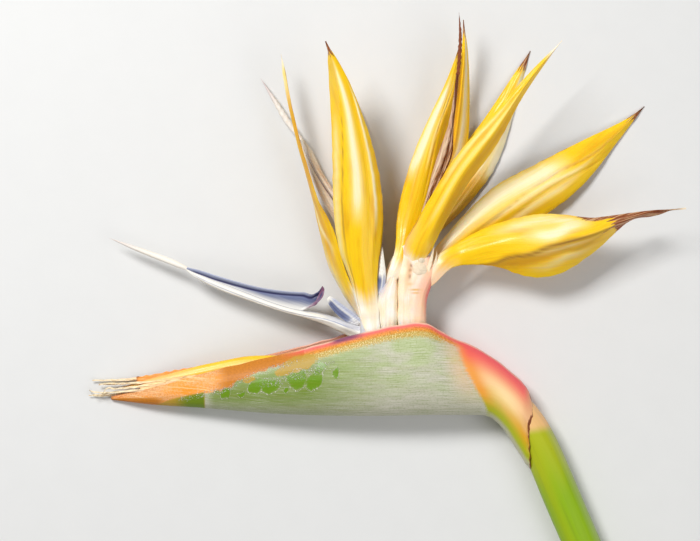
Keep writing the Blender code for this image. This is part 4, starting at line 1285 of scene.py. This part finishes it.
def stem(material):
    """The flower stalk, from the rachis inside the spathe to the cut end."""
    run = Run("stem", middle_of("flower_1_base"), flat=False, pointed=False)

    def swell(s, turn):
        ribs = 0.006 * np.sin(turn * 11 + 3 * np.sin(s * 9)) + 0.004 * np.sin(turn * 23 + 5 * s)
        return 1.0 + ribs + 0.012 * ripple(s * 2, turn, 41, 2, 0.3)

    sides = 72
    rings, layers = rod(run, rows=240, sides=sides, root=0.0, tip=1.0, swell=swell)
    s = layers["along"]
    layers["papery"] = 0.85 * ramp(s, 0.26, 0.29) * (1 - ramp(s + 0.012 * layers["round"], 0.345, 0.365))
    # The cut: a rounded edge, then a flat face with sunken strands, as rings that shrink to the middle.
    middle = rings[-1].mean(axis=0)
    ahead = unit(middle - rings[-4].mean(axis=0))
    share = np.array((0.975, 0.93, 0.86, 0.74, 0.6, 0.46, 0.32, 0.18, 0.06))[:, None]
    sunk = 0.35 * ripple(share * 3, np.cos(around(sides)) + share, 42) - 0.5 * (share < 0.9) + 0.15
    sunk = sunk * (share < 0.95)
    extra = middle + (rings[-1] - middle) * share[..., None] + ahead * sunk[..., None]
    full = lengthened(layers, len(share))
    full["flow"][-len(share):] = (extra - middle) @ np.stack((np.cross(ahead, UP), UP, ahead), axis=1)
    pith = np.clip((1 - share) / 0.08, 0.0, 1.0) + 0 * sunk
    full["pith"] = np.concatenate((np.zeros(rings.shape[:2]), pith))
    piece("stem", [(np.concatenate((rings, extra)), full)], material)


# How square a base is in section: 2 would make it round.
SQUARENESS = 3.6
# Each base: its outline as (rise, left, right, underside, top) in millimetres from its box's low corner, and
# painted marks (layer, rise, spread, side, reach, strength), where side is -1 at the left and 1 at the right.
BASES = {
    "flower_1_base": {
        "outline": (
            (0, 4.8, 10, 1.6, 8.2), (6, 3, 9, 0.4, 9.6), (13, 1, 7.8, 0, 10),
            (18, 1, 7.9, 0.1, 10.1), (22, 1.1, 8, 0.8, 10.1), (25, 1.2, 8, 2.5, 10),
            (28, 1.4, 7.9, 4.8, 9.8), (31, 2, 7.3, 6.4, 9.4), (33.5, 2.8, 6.2, 7.6, 9),
        ),
        "marks": (
            ("grey", 16, 5, -1, 0.8, 0.7), ("seam", 23.5, 3.5, -0.62, 0.05, 0.5),
            ("seam", 21.5, 3, -0.4, 0.04, 0.4), ("seam", 24, 8, 0.98, 0.05, 0.2),
        ),
    },
    "flower_2_base": {
        "outline": (
            (0, 2.6, 7.6, 1.6, 8.2), (8, 1.2, 7.4, 0.2, 9.8), (16, -0.2, 7.2, 0, 10.1),
            (24, -0.7, 7.4, 0, 10.3), (29, -0.7, 7.4, 0.2, 10.2), (32, 0.9, 7.4, 0.6, 10.1),
            (34.5, 3, 7.1, 1.2, 9.9), (38, 4.3, 7.2, 2.4, 9.4), (41.5, 5.2, 7.8, 4.4, 8.6),
            (45, 6, 8.4, 6.2, 7.8),
        ),
        "marks": (
            ("seam", 26, 18, 0.97, 0.03, 0.5), ("grey", 31.5, 3, -0.75, 0.4, 0.8),
            ("flush", 38, 6, 0, 3, 0.35), ("dry", 33.5, 1.6, -0.62, 0.1, 0.5),
        ),
    },
    "flower_3_base": {
        "outline": (
            (0, 3.2, 11.5, 1.4, 8.4), (8, 1.4, 11.2, 0, 10.2), (16, -0.2, 10.8, 0, 10.5),
            (20, -0.4, 10.4, 0.1, 10.6), (26, -0.4, 10.5, 0.1, 10.7), (30, -0.4, 11.3, 0.2, 10.8),
            (34, -0.4, 12.9, 0.6, 10.8), (37, -0.4, 14.6, 1.4, 10.5), (39, -0.3, 15, 2.2, 10.1),
            (41.5, 0, 13.4, 3.4, 9.9), (44, 0.6, 11, 5.2, 9.6), (46.5, 1.4, 8.4, 7, 9.3),
        ),
        "marks": (
            ("flush", 28, 30, 0.7, 0.8, 0.75), ("blush", 31, 9, 1, 0.2, 1),
            # The flush at rise 37 on the left and the gold marks are painted shade beside and below the stub.
            ("flush", 37, 7, -0.42, 0.3, 0.55),
            ("blush", 34, 8, 1, 0.6, 0.4), ("seam", 24, 20, -0.97, 0.03, 0.4),
            ("gold", 31.1, 0.3, 0.1, 0.32, 1), ("gold", 29.9, 0.28, 0.16, 0.26, 0.9),
            ("gold", 33.2, 0.5, -0.25, 0.2, 0.35), ("gold", 38.5, 3.4, -0.45, 0.14, 0.4),
            ("dry", 40, 0.6, -0.33, 0.05, 1), ("dry", 38.3, 0.6, -0.37, 0.05, 1),
            ("dry", 36, 0.8, -0.35, 0.05, 0.9), ("seam", 38, 4, -0.42, 0.1, 0.5),
        ),
    },
}


def base(name, plan, material, seed):
    """One flower's fleshy base, pressed square by its neighbours and drawn out over its sepals' roots."""
    corner = np.array(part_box(name)[0]) / MM
    rise = np.linspace(0.0, plan["outline"][-1][0], 130)[:, None]
    left, right, foot, top = (
        curve(rise, [(row[0], row[k]) for row in plan["outline"]]) for k in (1, 2, 3, 4)
    )
    turn = around(96)
    cos, sin = np.cos(turn), np.sin(turn)
    square = (np.abs(cos) ** SQUARENESS + np.abs(sin) ** SQUARENESS) ** (-1 / SQUARENESS)
    s = rise / rise.max()
    folds = 0.012 * np.sin(turn * 17 + 6 * s) + 0.025 * ripple(s * 2, turn / 2, seed)
    reach = square * (1 + folds * ramp(s, 0.1, 0.4))
    x = corner[0] + (left + right) / 2 + (right - left) / 2 * reach * cos
    z = corner[2] + (foot + top) / 2 + (top - foot) / 2 * reach * sin
    rings = stacked(x, corner[1] + rise, z)
    layers = {"flow": stacked(turn * 5.0, rise, 0 * turn)}
    for layer, place, spread, side, width, strength in plan["marks"]:
        mask = bell(rise, place, spread) * bell(cos * square, side, width)
        mask = mask * ramp(sin, -0.4, 0.2) * strength
        layers[layer] = np.maximum(layers.get(layer, 0.0), mask)
    rings, layers = rounded_end(rings, layers, 1.5)
    piece(name, [(rings, layers)], material)


def closed_bud(material):
    """The next flower, still shut in its yellow sepals, lying in the beak."""
    run = Run("closed_bud", middle_of("flower_2_base"), flat=False)

    def swell(s, turn):
        keel = 0.10 * bell(np.angle(np.exp(1j * (turn - 1.2))), 0.0, 0.25)
        overlap = -0.08 * bell(np.sin(turn - 0.4 - s), 0.0, 0.12)
        return 1.0 + keel + overlap + 0.015 * np.sin(turn * 15 + 4 * s) + 0.03 * ripple(s * 2, turn / 2, 51)

    rings, layers = rod(run, rows=150, sides=56, root=-0.02, tip=0.995, swell=swell)
    side, s = layers["round"], layers["along"]
    # Painted shade down one side of the bud, and darker towards its tip; a painted highlight down its other
    # side.
    layers["shade"] = 0.6 * bell(side, -0.5, 0.4) + 0.5 * ramp(s, 0.75, 0.95)
    layers["pale"] = 0.45 * bell(side, 0.45, 0.25) * ramp(s, 0.2, 0.35)
    layers["cream"] = 0.35 * (1 - ramp(s, 0.05, 0.3))
    layers["flush"] = 0.6 * ramp(s, 0.62, 0.8) * ramp(side, 0.0, 0.8)
    layers["dry"] = 0.55 * ramp(s, 0.85, 0.98)
    piece("closed_bud", [(rings, layers)], material)


# Each papery bract: the s where its blade ends, the strands that fray from it as (s, middle, width) with both
# in millimetres, and how warm and how pale it is.
BRACTS = {
    "bract_near": {
        "tip": 0.66,
        "strands": (
            (
                (0.4, -0.6, 2.2), (0.628, -1.2, 1.1), (0.806, -0.7, 0.8), (0.983, -0.5, 0.6),
                (1.04, 0, 0.5), (1.07, 1.1, 0.3),
            ),
            ((0.45, 0.6, 1.6), (0.7, 0.5, 0.9), (0.85, 1.1, 0.6), (0.93, 1.35, 0.5), (0.965, -1, 0.3)),
            ((0.42, 1.2, 1.4), (0.65, 1.6, 0.9), (0.811, 2.3, 0.6), (0.922, 2.6, 0.5), (0.99, 2.3, 0.25)),
        ),
        "warm": 0.3, "pale": 0.5, "seed": 61,
    },
    "bract_far": {
        "tip": 0.7,
        "strands": (
            ((0.45, 0.8, 2.4), (0.65, 0.9, 1.3), (0.806, 0.3, 0.9), (0.9, 0.1, 0.7), (1, -0.1, 0.4)),
            ((0.5, -0.4, 1.4), (0.7, -0.7, 0.8), (0.85, -0.9, 0.6), (0.955, -0.5, 0.3)),
        ),
        "warm": 0.9, "pale": 0.1, "seed": 62,
    },
    "bract_tip": {
        "tip": 0.5,
        "strands": (
            ((0.02, 0.7, 1.5), (0.348, 0, 1.2), (0.603, -0.7, 0.9), (0.805, -0.9, 0.7), (0.99, -0.4, 0.3)),
            ((0.1, 0.4, 1.2), (0.35, 0.6, 0.8), (0.6, 0.5, 0.6), (0.8, 0.2, 0.5), (0.92, 0.8, 0.3)),
        ),
        "warm": 0.5, "pale": 0.3, "seed": 63,
    },
}


def bract(name, plan, material):
    """A thin papery bract whose end has frayed into strands."""
    run = Run(name, middle_of("flower_2_base"))
    seed, end, thin = plan["seed"], plan["tip"], {"rim": 0.3, "spine": 0.45, "taper": 0.03, "least": 0.1}
    blade = Blade(run, rows=90, columns=21, root=-0.02, tip=end)
    s, u = blade.s, blade.u
    blade.lift += 0.3 * ripple(s * 4, u, seed) * np.abs(u)
    blade.width *= 1 + 0.12 * ripple(s * 9, 0 * s, seed + 1)
    blade.paint("dry", 0.5 * ramp(s, end - 0.05, end) + 0.3 * np.abs(u) ** 6)
    blade.paint("warm", plan["warm"])
    blade.paint("pale", plan["pale"] * bell(u, 0.0, 0.5))
    shells = [blade.rings(**thin)]
    for number, strand in enumerate(plan["strands"]):
        start, end = strand[0][0], strand[-1][0]
        blade = Blade(run, rows=90, columns=9, root=start, tip=end)
        blade.edges = tuple([(s, place + side * wide / 2) for s, place, wide in strand] for side in (-1, 1))
        share = (blade.s - start) / (end - start)
        curl = share**2 * (0.7 + 0.5 * number) * (1 if number % 2 else -0.4)
        blade.lift += curl * 1.6 + 0.2 * ripple(share * 3, blade.u, seed + 5 + number)
        blade.turn += 0.9 * share * math.sin(seed + number * 2.4)
        blade.paint("dry", 0.45 * ramp(share, 0.9, 1.0))
        blade.paint("warm", plan["warm"] * (1 - share))
        blade.paint("pale", 0.9 * ramp(share, 0.1, 0.6))
        shells.append(blade.rings(**thin))
    piece(name, shells, material)


# ---------------------------------------------------------------- arrows, nectaries and styles

# The blue arrow's outlines: s along its lower edge, and millimetres above that edge's even line.
KEEL_LOW = (
    (0, -1.4), (0.066, 0), (0.166, 1.4), (0.285, 1.6), (0.43, 1), (0.617, 0.6), (0.78, 0.1),
    (0.92, 0.1), (1, 0.4),
)
KEEL_HIGH = (
    (0, 4), (0.06, 4.5), (0.12, 5.1), (0.184, 5.2), (0.249, 4.85), (0.3, 4.2), (0.4, 3.4), (0.506, 3.1),
    (0.63, 3.15), (0.754, 3.1), (0.874, 2.4), (1, 1),
)
WING_TOP = (
    (0.249, 14.8), (0.255, 13.2), (0.271, 11.7), (0.347, 10.4), (0.469, 8.25), (0.588, 6.6), (0.704, 5.5),
    (0.822, 4.4), (0.948, 2.9), (1, 1.7),
)
# The wing's torn trailing edge, from the keel to the barb: share of the way, s and height.
WING_BACK = (
    (0, 0.322, 4), (0.22, 0.292, 5.6), (0.4, 0.262, 7.2), (0.6, 0.236, 9.6), (0.78, 0.226, 12),
    (0.9, 0.232, 13.9), (1, 0.249, 14.8),
)
# The aged arrow's two lobes, outer edge to gap and gap to lower edge: s and millimetres from its middle line.
AGED_OUTER = ((0, 1.4), (0.3, 2.3), (0.5, 2.9), (0.65, 2.7), (0.76, 1.9), (0.85, 1.9), (0.91, 1.85), (1, 0.5))
AGED_GAP = ((0, 0.4), (0.3, 1), (0.59, 1.3), (0.7, 0.2), (0.81, -0.4), (0.9, -0.55), (1, -0.3))
AGED_LOWER = ((0, -1.3), (0.3, -2), (0.49, -2), (0.65, -2.6), (0.78, -2.35), (0.92, -1.35), (1, -0.9))
# The withered arrow's outline, in the same measures.
WITHERED_LEFT = (
    (0, -1.5), (0.2, -1.9), (0.41, -0.9), (0.5, -1.5), (0.59, -1.6), (0.74, -0.5), (0.9, -0.5), (1, -0.4)
)
WITHERED_RIGHT = (
    (0, 1.5), (0.2, 1.9), (0.46, 2.3), (0.57, 4), (0.64, 3.2), (0.73, 1.9), (0.89, 0.8), (1, 0.4)
)


def arrow_keel(run):
    """The thick white lower edge that both wings of the arrow stand on."""
    blade = Blade(run, rows=150, columns=25, root=-0.02)
    s, u = blade.s, blade.u
    blade.edges = (KEEL_LOW, KEEL_HIGH)
    fine = ramp(s, 0.0, 0.08)
    crease = blade.line([(0.0, 0.3), (0.12, 0.2), (0.3, -0.45), (0.6, -0.5), (0.95, -0.3)], 0.10)
    blade.lift += (1.5 - 0.7 * ramp(s, 0.3, 1.0)) * domed(u) * fine - 0.4 * crease
    blade.lift += 0.05 * ripple(s * 6, u, 71)
    streak = blade.line([(0.02, 0.3), (0.12, 0.2), (0.3, -0.35), (0.6, -0.4), (0.95, -0.3)], 0.10)
    blade.paint("ash", 0.9 * streak)
    blade.paint("ash", 0.6 * (1 - ramp(s, 0.1, 0.24)) * ramp(u, 0.1, 0.5))
    blade.paint("face", 0.55 * ramp(u, 0.45, 0.95) * ramp(s, 0.05, 0.2) * (1 - 0.6 * ramp(s, 0.7, 1.0)))
    blade.paint("fold", 0.8 * blade.line([(0.02, 0.3), (0.12, 0.2), (0.2, 0.0)], 0.08))
    return blade.rings(1.3, 3.0, taper=0.03, least=0.3)


def arrow_wing(run, side):
    """One of the two thin wings that stand up from the keel and end in a barb; side is 1 near and -1 far."""
    rows, columns = 150, 35
    along = np.linspace(0.0, 1.0, rows)[:, None] ** 1.25
    u = np.linspace(0.0, 1.0, columns)[None, :]
    back, back_height = (curve(u, [(row[0], row[k]) for row in WING_BACK]) for k in (1, 2))
    s = back + (1.0 - back) * along
    low = curve(s, KEEL_HIGH) - 0.6
    high = np.maximum(curve(s, WING_TOP), low + 0.5)
    torn = bell(along, 0.0, 0.04)
    height = low + (high - low) * u
    height = height + (back_height - height[:1]) * torn
    from_top = (high - low) * (1 - u)
    middle, across, out = run.grid(s)
    barb = bell(along, 0.0, 0.10)
    spread = side * (0.5 + 1.7 * u**1.4 * (1 - ramp(along, 0.7, 1.0)))
    lip = side * (0.45 * bell(from_top, 0.0, 0.7) - 0.35 * bell(from_top, 1.3, 0.6))
    curl = side * 1.1 * bell(along, 0.0, 0.02) * np.sin(u * math.pi)
    lift = spread + lip + curl + 0.08 * ripple(s * 9, u, 72 + side) * u
    centre = middle + across * height[..., None] + out * lift[..., None]
    wall = (0.5 - 0.25 * u) * (1 - 0.5 * ramp(along, 0.8, 1.0)) + 0.12
    normal = unit(np.cross(np.gradient(centre, axis=1), np.gradient(centre, axis=0)))
    normal = normal * np.where(np.sum(normal * out, axis=2, keepdims=True) > 0, 1.0, -1.0)
    half = normal * (wall / 2)[..., None]
    layers = {
        "face": 0.25 + 0.65 * ramp(u, 0.0, 0.8) + 0 * s,
        "rim": 0.95 * bell(from_top, 0.0, 0.55) * (1 - 0.7 * barb),
        "fold": 0.95 * bell(from_top, 1.25, 0.5) + 0.8 * barb * ramp(u, 0.35, 0.8),
        "claw": bell(along, 0.0, 0.010) * ramp(u, 0.1, 0.3),
        "flow": stacked(height, s * run.length, 0 * s + side * 5.0),
    }
    layers = {key: folded(values, values) for key, values in layers.items()}
    return rested(folded(centre + half, centre - half)), layers


def blue_arrow(material):
    """Two fused petals: a white keel with two blue wings, open along the top, that end in a barb."""
    run = Run("flower_1_arrow", middle_of("flower_2_base"), flat=False, pointed=False).edge(-1)
    shells = [arrow_keel(run), arrow_wing(run, 1), arrow_wing(run, -1)]
    piece("flower_1_arrow", shells, material)


def aged_arrow(material):
    """The second flower's arrow: two shrinking lobes that have come apart, laid along each other."""
    run = Run("flower_2_arrow", middle_of("flower_2_base"), flat=False, pointed=False)
    shells = []
    lobes = ((AGED_GAP, AGED_OUTER, 0.5, 0.12), (AGED_LOWER, AGED_GAP, -0.3, -0.12))
    for number, (left, right, lift, shift) in enumerate(lobes):
        blade = Blade(run, rows=140, columns=21, root=-0.02)
        s, u = blade.s, blade.u
        blade.edges = tuple([(place, value + shift) for place, value in line] for line in (left, right))
        blade.lift += lift + domed(u) - 0.45 * blade.line([(0.2, 0.1), (0.6, -0.2), (0.9, 0.0)], 0.14)
        blade.lift += 0.12 * ripple(s * 8, u, 75 + number) + 0.06 * np.sin(u * 14 + 6 * s)
        blade.width *= 1 + 0.05 * ripple(s * 8, 0 * s, 77 + number)
        if number == 0:
            blade.paint("shade", 0.45 * blade.line([(0.1, -0.9), (0.95, -0.8)], 0.25))
            blade.paint("dry", 0.6 * blade.line([(0.55, 0.3), (0.7, 0.5), (0.82, 0.1)], 0.45))
        else:
            blade.paint("shade", 0.6 * blade.line([(0.1, 0.8), (0.95, 0.9)], 0.18))
            blade.paint("dead", 0.75 * blade.line([(0.55, 0.95), (0.72, 0.95), (0.95, 0.95)], 0.12))
            blade.paint("dry", 0.25 * blade.line([(0.3, -0.4), (0.9, -0.6)], 0.3))
        shells.append(blade.rings(0.6, 1.5, taper=0.03))
    piece("flower_2_arrow", shells, material)


def withered_arrow(material):
    """The oldest flower's arrow: a twisted dry strip with dark ribs."""
    run = Run("flower_3_arrow", middle_of("flower_3_base"), flat=False, pointed=False)
    places = np.array([place for place, _ in WITHERED_LEFT])
    left, right = curve(places, WITHERED_LEFT), curve(places, WITHERED_RIGHT)
    shells = []
    for number, shares in enumerate(((0.0, 0.62), (0.5, 1.0))):
        blade = Blade(run, rows=150, columns=21, root=-0.01)
        s, u = blade.s, blade.u
        blade.edges = tuple(list(zip(places, left + (right - left) * share)) for share in shares)
        blade.lift += 0.5 - 0.8 * number + 0.8 * domed(u)
        blade.lift += 0.16 * np.cos(u * 10 + 3 * np.sin(s * 9)) + 0.2 * ripple(s * 7, u, 81 + number)
        blade.turn += 0.3 * np.sin(s * 7 + number)
        blade.paint("dead", 0.7 * blade.line([(0.3, 0.9), (0.5, 0.7), (0.7, 0.75), (1.0, 0.6)], 0.18))
        blade.paint("dead", 0.30 * number)
        blade.paint("dead", 0.55 * ramp(s, 0.72, 0.92))
        if number == 0:
            blade.paint("bleach", 0.45 * blade.line([(0.25, -0.3), (0.5, -0.4), (0.7, -0.2)], 0.35))
        shells.append(blade.rings(0.5, 1.2, taper=0.03, least=0.15))
    piece("flower_3_arrow", shells, material)


# Each nectary petal: the base it grows from, its edges as (s, millimetres from its middle line), how deep it
# cups, the s where it begins, its dark fold, and the s where it turns white.
NECTARIES = {
    "flower_1_nectary_petal": {
        "root": "flower_1_base",
        "edges": (
            ((-0.2, -1.2), (0.1, -2.6), (0.4, -2.9), (0.7, -2.7), (0.9, -2.1), (1, -1.4)),
            ((-0.2, 1.4), (0.1, 1.7), (0.4, 1.35), (0.7, 0.9), (0.9, 0.5), (1, 0.1)),
        ),
        "cup": 0.9, "start": -0.2, "fold": [(-0.1, -0.5), (0.3, -0.55), (0.9, -0.5)], "white": 0.93,
    },
    "flower_2_nectary_petal": {
        "root": "flower_2_base",
        "edges": (
            ((-0.08, -1.2), (0.2, -1.5), (0.45, -1.4), (0.7, -1.1), (0.9, -0.6), (1, -0.2)),
            ((-0.08, 1.3), (0.2, 1.7), (0.45, 1.6), (0.7, 0.9), (0.9, 0.4), (1, 0.1)),
        ),
        "cup": -0.5, "start": -0.08, "fold": [(-0.05, 0.7), (0.3, 0.6), (0.45, 0.5)], "white": 0.42,
    },
}


def nectary(name, plan, material):
    """A short boat-shaped petal beside the arrow."""
    run = Run(name, middle_of(plan["root"]), flat=False)
    blade = Blade(run, rows=110, columns=33, root=plan["start"])
    s, u = blade.s, blade.u
    blade.edges = plan["edges"]
    blade.lift += plan["cup"] * (u**2 - 0.4) * np.sin(np.clip(s, 0, 1) * math.pi) ** 0.6
    blade.lift += 0.06 * ripple(s * 5, u, 85) + 0.05 * np.cos(u * 17)
    white = ramp(s, plan["white"] - 0.15, plan["white"] + 0.1)
    blade.paint("face", (0.3 + 0.6 * ramp(-u, -0.3, 0.2)) * (1 - white) * ramp(s, -0.1, 0.2))
    blade.paint("fold", 0.45 * blade.line(plan["fold"], 0.25))
    blade.paint("rim", 0.9 * ramp(u, 0.1, 0.5) * (1 - white))
    blade.paint("ash", 0.4 * (1 - ramp(s, 0.0, 0.35)))
    piece(name, [blade.rings(0.5, 0.8, taper=0.03, least=0.2)], material)


# Each style: its slot, how much it wrinkles, its painted layer and how strong that is.
STYLES = {
    "flower_1_style": ("style_white", 0.02, "flush", 0.6),
    "flower_2_style": ("style_white", 0.05, "flush", 1),
    "flower_3_style": ("withered_brown", 0.12, "dead", 1),
}


def style(name, wrinkle, layer, strength, material):
    """A slender style that swells into its stigma and tapers to a point."""
    run = Run(name, middle_of("flower_2_base"), flat=False)

    def swell(s, turn):
        grooves = 0.08 * np.cos(turn * 3 + 2 * s) + wrinkle * np.sin(turn * 7 + 8 * s)
        return 0.98 + grooves * ramp(s, 0.02, 0.2) + wrinkle * 2 * ripple(s * 4, turn / 3, 91)

    rings, layers = rod(run, rows=110, sides=24, root=-0.03, tip=0.998, swell=swell)
    s = layers["along"]
    # A flush grows towards the tip, and the dead brown is even.
    layers[layer] = strength * (0.25 + 0.75 * ramp(s, 0.45, 1.0)) if layer == "flush" else strength + 0 * s
    piece(name, [(rings, layers)], material)


# The scar's two knobs: middle, from the low corner of the base's box, then half sizes, then how grey each is.
KNOBS = (((7.8, 38.3, 9.7), (2.8, 3.05, 1.3), 0.12), ((8.6, 41.8, 9.5), (1.35, 1.35, 0.9), 0.42))


def stub(material):
    """The round scar on the oldest flower's base: a low knob with painted shade round one side of its foot, and
    a smaller grey one above it.
    """
    corner = np.array(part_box("flower_3_base")[0]) / MM
    lean = np.linspace(-0.8, 1.5, 40)[:, None]
    turn = around(64)
    swell = 1 + 0.07 * ripple(lean / 3, turn / 4, 95) + 0.025 * np.cos(turn * 9) * np.cos(lean)
    reach = np.cos(lean) * swell
    ball = stacked(reach * np.cos(turn), reach * np.sin(turn), np.sin(lean) * swell)
    # Painted shade: brown round one side of the knob's foot.
    foot_shade = 0.5 * (1 - ramp(lean, 0.1, 0.5)) * ramp(-np.cos(turn - 0.5), -0.1, 0.7)
    shells = []
    for place, half, grey in KNOBS:
        layers = {"flow": stacked(turn * 2.5, lean * 2.5, 0.0), "warm": 1.0, "grey": grey, "dead": foot_shade}
        shells.append((corner + place + ball * half, layers))
    piece("flower_3_stub", shells, material)


def filament(name, seed, material):
    """A dried thread of the oldest flower."""
    run = Run(name, middle_of("flower_3_base"), flat=False)

    def swell(s, turn):
        return 1.0 + 0.2 * np.cos(turn * 3 + seed + 4 * s) + 0.15 * ripple(s * 3, turn / 3, seed)

    rings, layers = rod(run, rows=60, sides=18, root=-0.05, tip=0.997, swell=swell)
    layers["bleach"] = 1.2 - 0.5 * ramp(layers["along"], 0.5, 1.0)
    piece(name, [(rings, layers)], material)


# ---------------------------------------------------------------- studio


def table_material():
    """Matt pale board with a faint grain."""
    paint = Paint("table")
    place = Value(paint, paint.node("TexCoord").outputs["Object"])
    grain = paint.cloud(place, 90.0, 4.0)
    tone = bpy.context.scene.flower_studio.table
    darker = tuple(0.96 * value for value in tone)
    paint.skin = paint.mix(grain, darker, tone)
    return paint.done(0.6 + 0.1 * grain, paint.dent(grain, 0.05))


TABLE = 1.6  # half of the table's side, m
AIM_HEIGHT = 0.012  # the height that the camera and the lights look at, m
# The two lights: side of the square, and place from the point that the camera looks at, m.
LIGHTS = {"key": (0.30, (-0.40, 0.46, 0.788)), "fill": (0.60, (0.60, -0.35, 0.688))}


def area_light(name, power, size, place, aim):
    """A soft square light that looks at a point."""
    data = bpy.data.lights.new(name, "AREA")
    data.energy = power
    data.size = size
    lamp = bpy.data.objects.new(name, data)
    lamp.location = place
    lamp.rotation_euler = (aim - place).to_track_quat("-Z", "Y").to_euler()
    bpy.context.scene.collection.objects.link(lamp)


def studio():
    """The table, the lights, the surround and the camera that looks straight down."""
    scene = bpy.context.scene
    setup = scene.flower_studio
    mesh = bpy.data.meshes.new("table")
    corners = [(x * TABLE, y * TABLE, 0.0) for x, y in ((-1, -1), (1, -1), (1, 1), (-1, 1))]
    mesh.from_pydata(corners, [], [(0, 1, 2, 3)])
    mesh.materials.append(table_material())
    table = bpy.data.objects.new("table", mesh)
    scene.collection.objects.link(table)
    aim = Vector((setup.aim[0] * MM, setup.aim[1] * MM, AIM_HEIGHT))
    for name, (size, place) in LIGHTS.items():
        area_light(name, getattr(setup, name), size, aim + Vector(place), aim)
    world = bpy.data.worlds.new("surround")
    world.use_nodes = True
    background = world.node_tree.nodes["Background"]
    background.inputs["Color"].default_value = (1.0, 1.0, 1.0, 1.0)
    background.inputs["Strength"].default_value = setup.sky
    scene.world = world
    scene.view_settings.view_transform = "Standard"
    data = bpy.data.cameras.new("camera")
    data.lens = setup.lens
    data.clip_start = 0.01
    camera = bpy.data.objects.new("camera", data)
    distance = setup.width * MM * setup.lens / data.sensor_width
    camera.location = aim + Vector((0.0, 0.0, distance))
    scene.collection.objects.link(camera)
    scene.camera = camera


# ---------------------------------------------------------------- add-on


class FLOWER_OT_stem(bpy.types.Operator):
    """Build the stem"""

    bl_idname = "flower.stem"
    bl_label = "Stem"

    def execute(self, context):
        stem(stem_material())
        return {"FINISHED"}


class FLOWER_OT_spathe(bpy.types.Operator):
    """Build the boat-shaped spathe"""

    bl_idname = "flower.spathe"
    bl_label = "Spathe"

    def execute(self, context):
        spathe(spathe_material())
        return {"FINISHED"}


class FLOWER_OT_bases(bpy.types.Operator):
    """Build the three flowers' bases"""

    bl_idname = "flower.bases"
    bl_label = "Flower bases"

    def execute(self, context):
        material = base_material()
        for seed, (name, plan) in enumerate(BASES.items(), start=45):
            base(name, plan, material, seed)
        return {"FINISHED"}


class FLOWER_OT_sepals(bpy.types.Operator):
    """Build the nine sepals and the closed bud"""

    bl_idname = "flower.sepals"
    bl_label = "Sepals and bud"

    def execute(self, context):
        material = sepal_material()
        for name, plan in SEPALS.items():
            sepal(name, plan, material)
        closed_bud(material)
        return {"FINISHED"}


class FLOWER_OT_bracts(bpy.types.Operator):
    """Build the papery bracts of the beak"""

    bl_idname = "flower.bracts"
    bl_label = "Papery bracts"

    def execute(self, context):
        material = bract_material()
        for name, plan in BRACTS.items():
            bract(name, plan, material)
        return {"FINISHED"}


class FLOWER_OT_arrows(bpy.types.Operator):
    """Build the blue arrow, the second flower's arrow and the nectary petals"""

    bl_idname = "flower.arrows"
    bl_label = "Arrows and nectary petals"

    def execute(self, context):
        blue = arrow_material()
        blue_arrow(blue)
        for name, plan in NECTARIES.items():
            nectary(name, plan, blue)
        aged_arrow(aged_material())
        return {"FINISHED"}


class FLOWER_OT_styles(bpy.types.Operator):
    """Build the styles, the stub and the dried threads"""

    bl_idname = "flower.styles"
    bl_label = "Styles and threads"

    def execute(self, context):
        fresh, dry = style_material(), withered_material()
        for name, (slot, wrinkle, layer, strength) in STYLES.items():
            style(name, wrinkle, layer, strength, fresh if slot == "style_white" else dry)
        stub(fresh)
        withered_arrow(dry)
        for number in (1, 2):
            filament(f"flower_3_filament_{number}", 96 + number, dry)
        return {"FINISHED"}


class FLOWER_OT_studio(bpy.types.Operator):
    """Set up the table, the lights and the camera"""

    bl_idname = "flower.studio"
    bl_label = "Table, lights and camera"

    def execute(self, context):
        studio()
        return {"FINISHED"}


OPERATORS = (
    FLOWER_OT_stem, FLOWER_OT_spathe, FLOWER_OT_bases, FLOWER_OT_sepals, FLOWER_OT_bracts,
    FLOWER_OT_arrows, FLOWER_OT_styles, FLOWER_OT_studio,
)
GROUPS = {"flower_colours": FlowerColours, "flower_sizes": FlowerSizes, "flower_studio": FlowerStudio}


class FLOWER_PT_sidebar(bpy.types.Panel):
    """The flower's colours, sizes and building steps"""

    bl_idname = "FLOWER_PT_sidebar"
    bl_label = "Bird of paradise flower"
    bl_space_type = "VIEW_3D"
    bl_region_type = "UI"
    bl_category = "Flower"

    def draw(self, context):
        column = self.layout.column()
        for operator in OPERATORS:
            column.operator(operator.bl_idname)
        for name, group in GROUPS.items():
            box = self.layout.box()
            held = getattr(context.scene, name)
            for key in group.__annotations__:
                box.prop(held, key)


CLASSES = (*GROUPS.values(), *OPERATORS, FLOWER_PT_sidebar)


def register():
    for made in CLASSES:
        bpy.utils.register_class(made)
    for name, group in GROUPS.items():
        setattr(bpy.types.Scene, name, PointerProperty(type=group))


def unregister():
    for name in GROUPS:
        delattr(bpy.types.Scene, name)
    for made in reversed(CLASSES):
        bpy.utils.unregister_class(made)


def main():
    register()
    for operator in OPERATORS:
        group, name = operator.bl_idname.split(".")
        getattr(getattr(bpy.ops, group), name)()


if __name__ == "__main__":
    main()
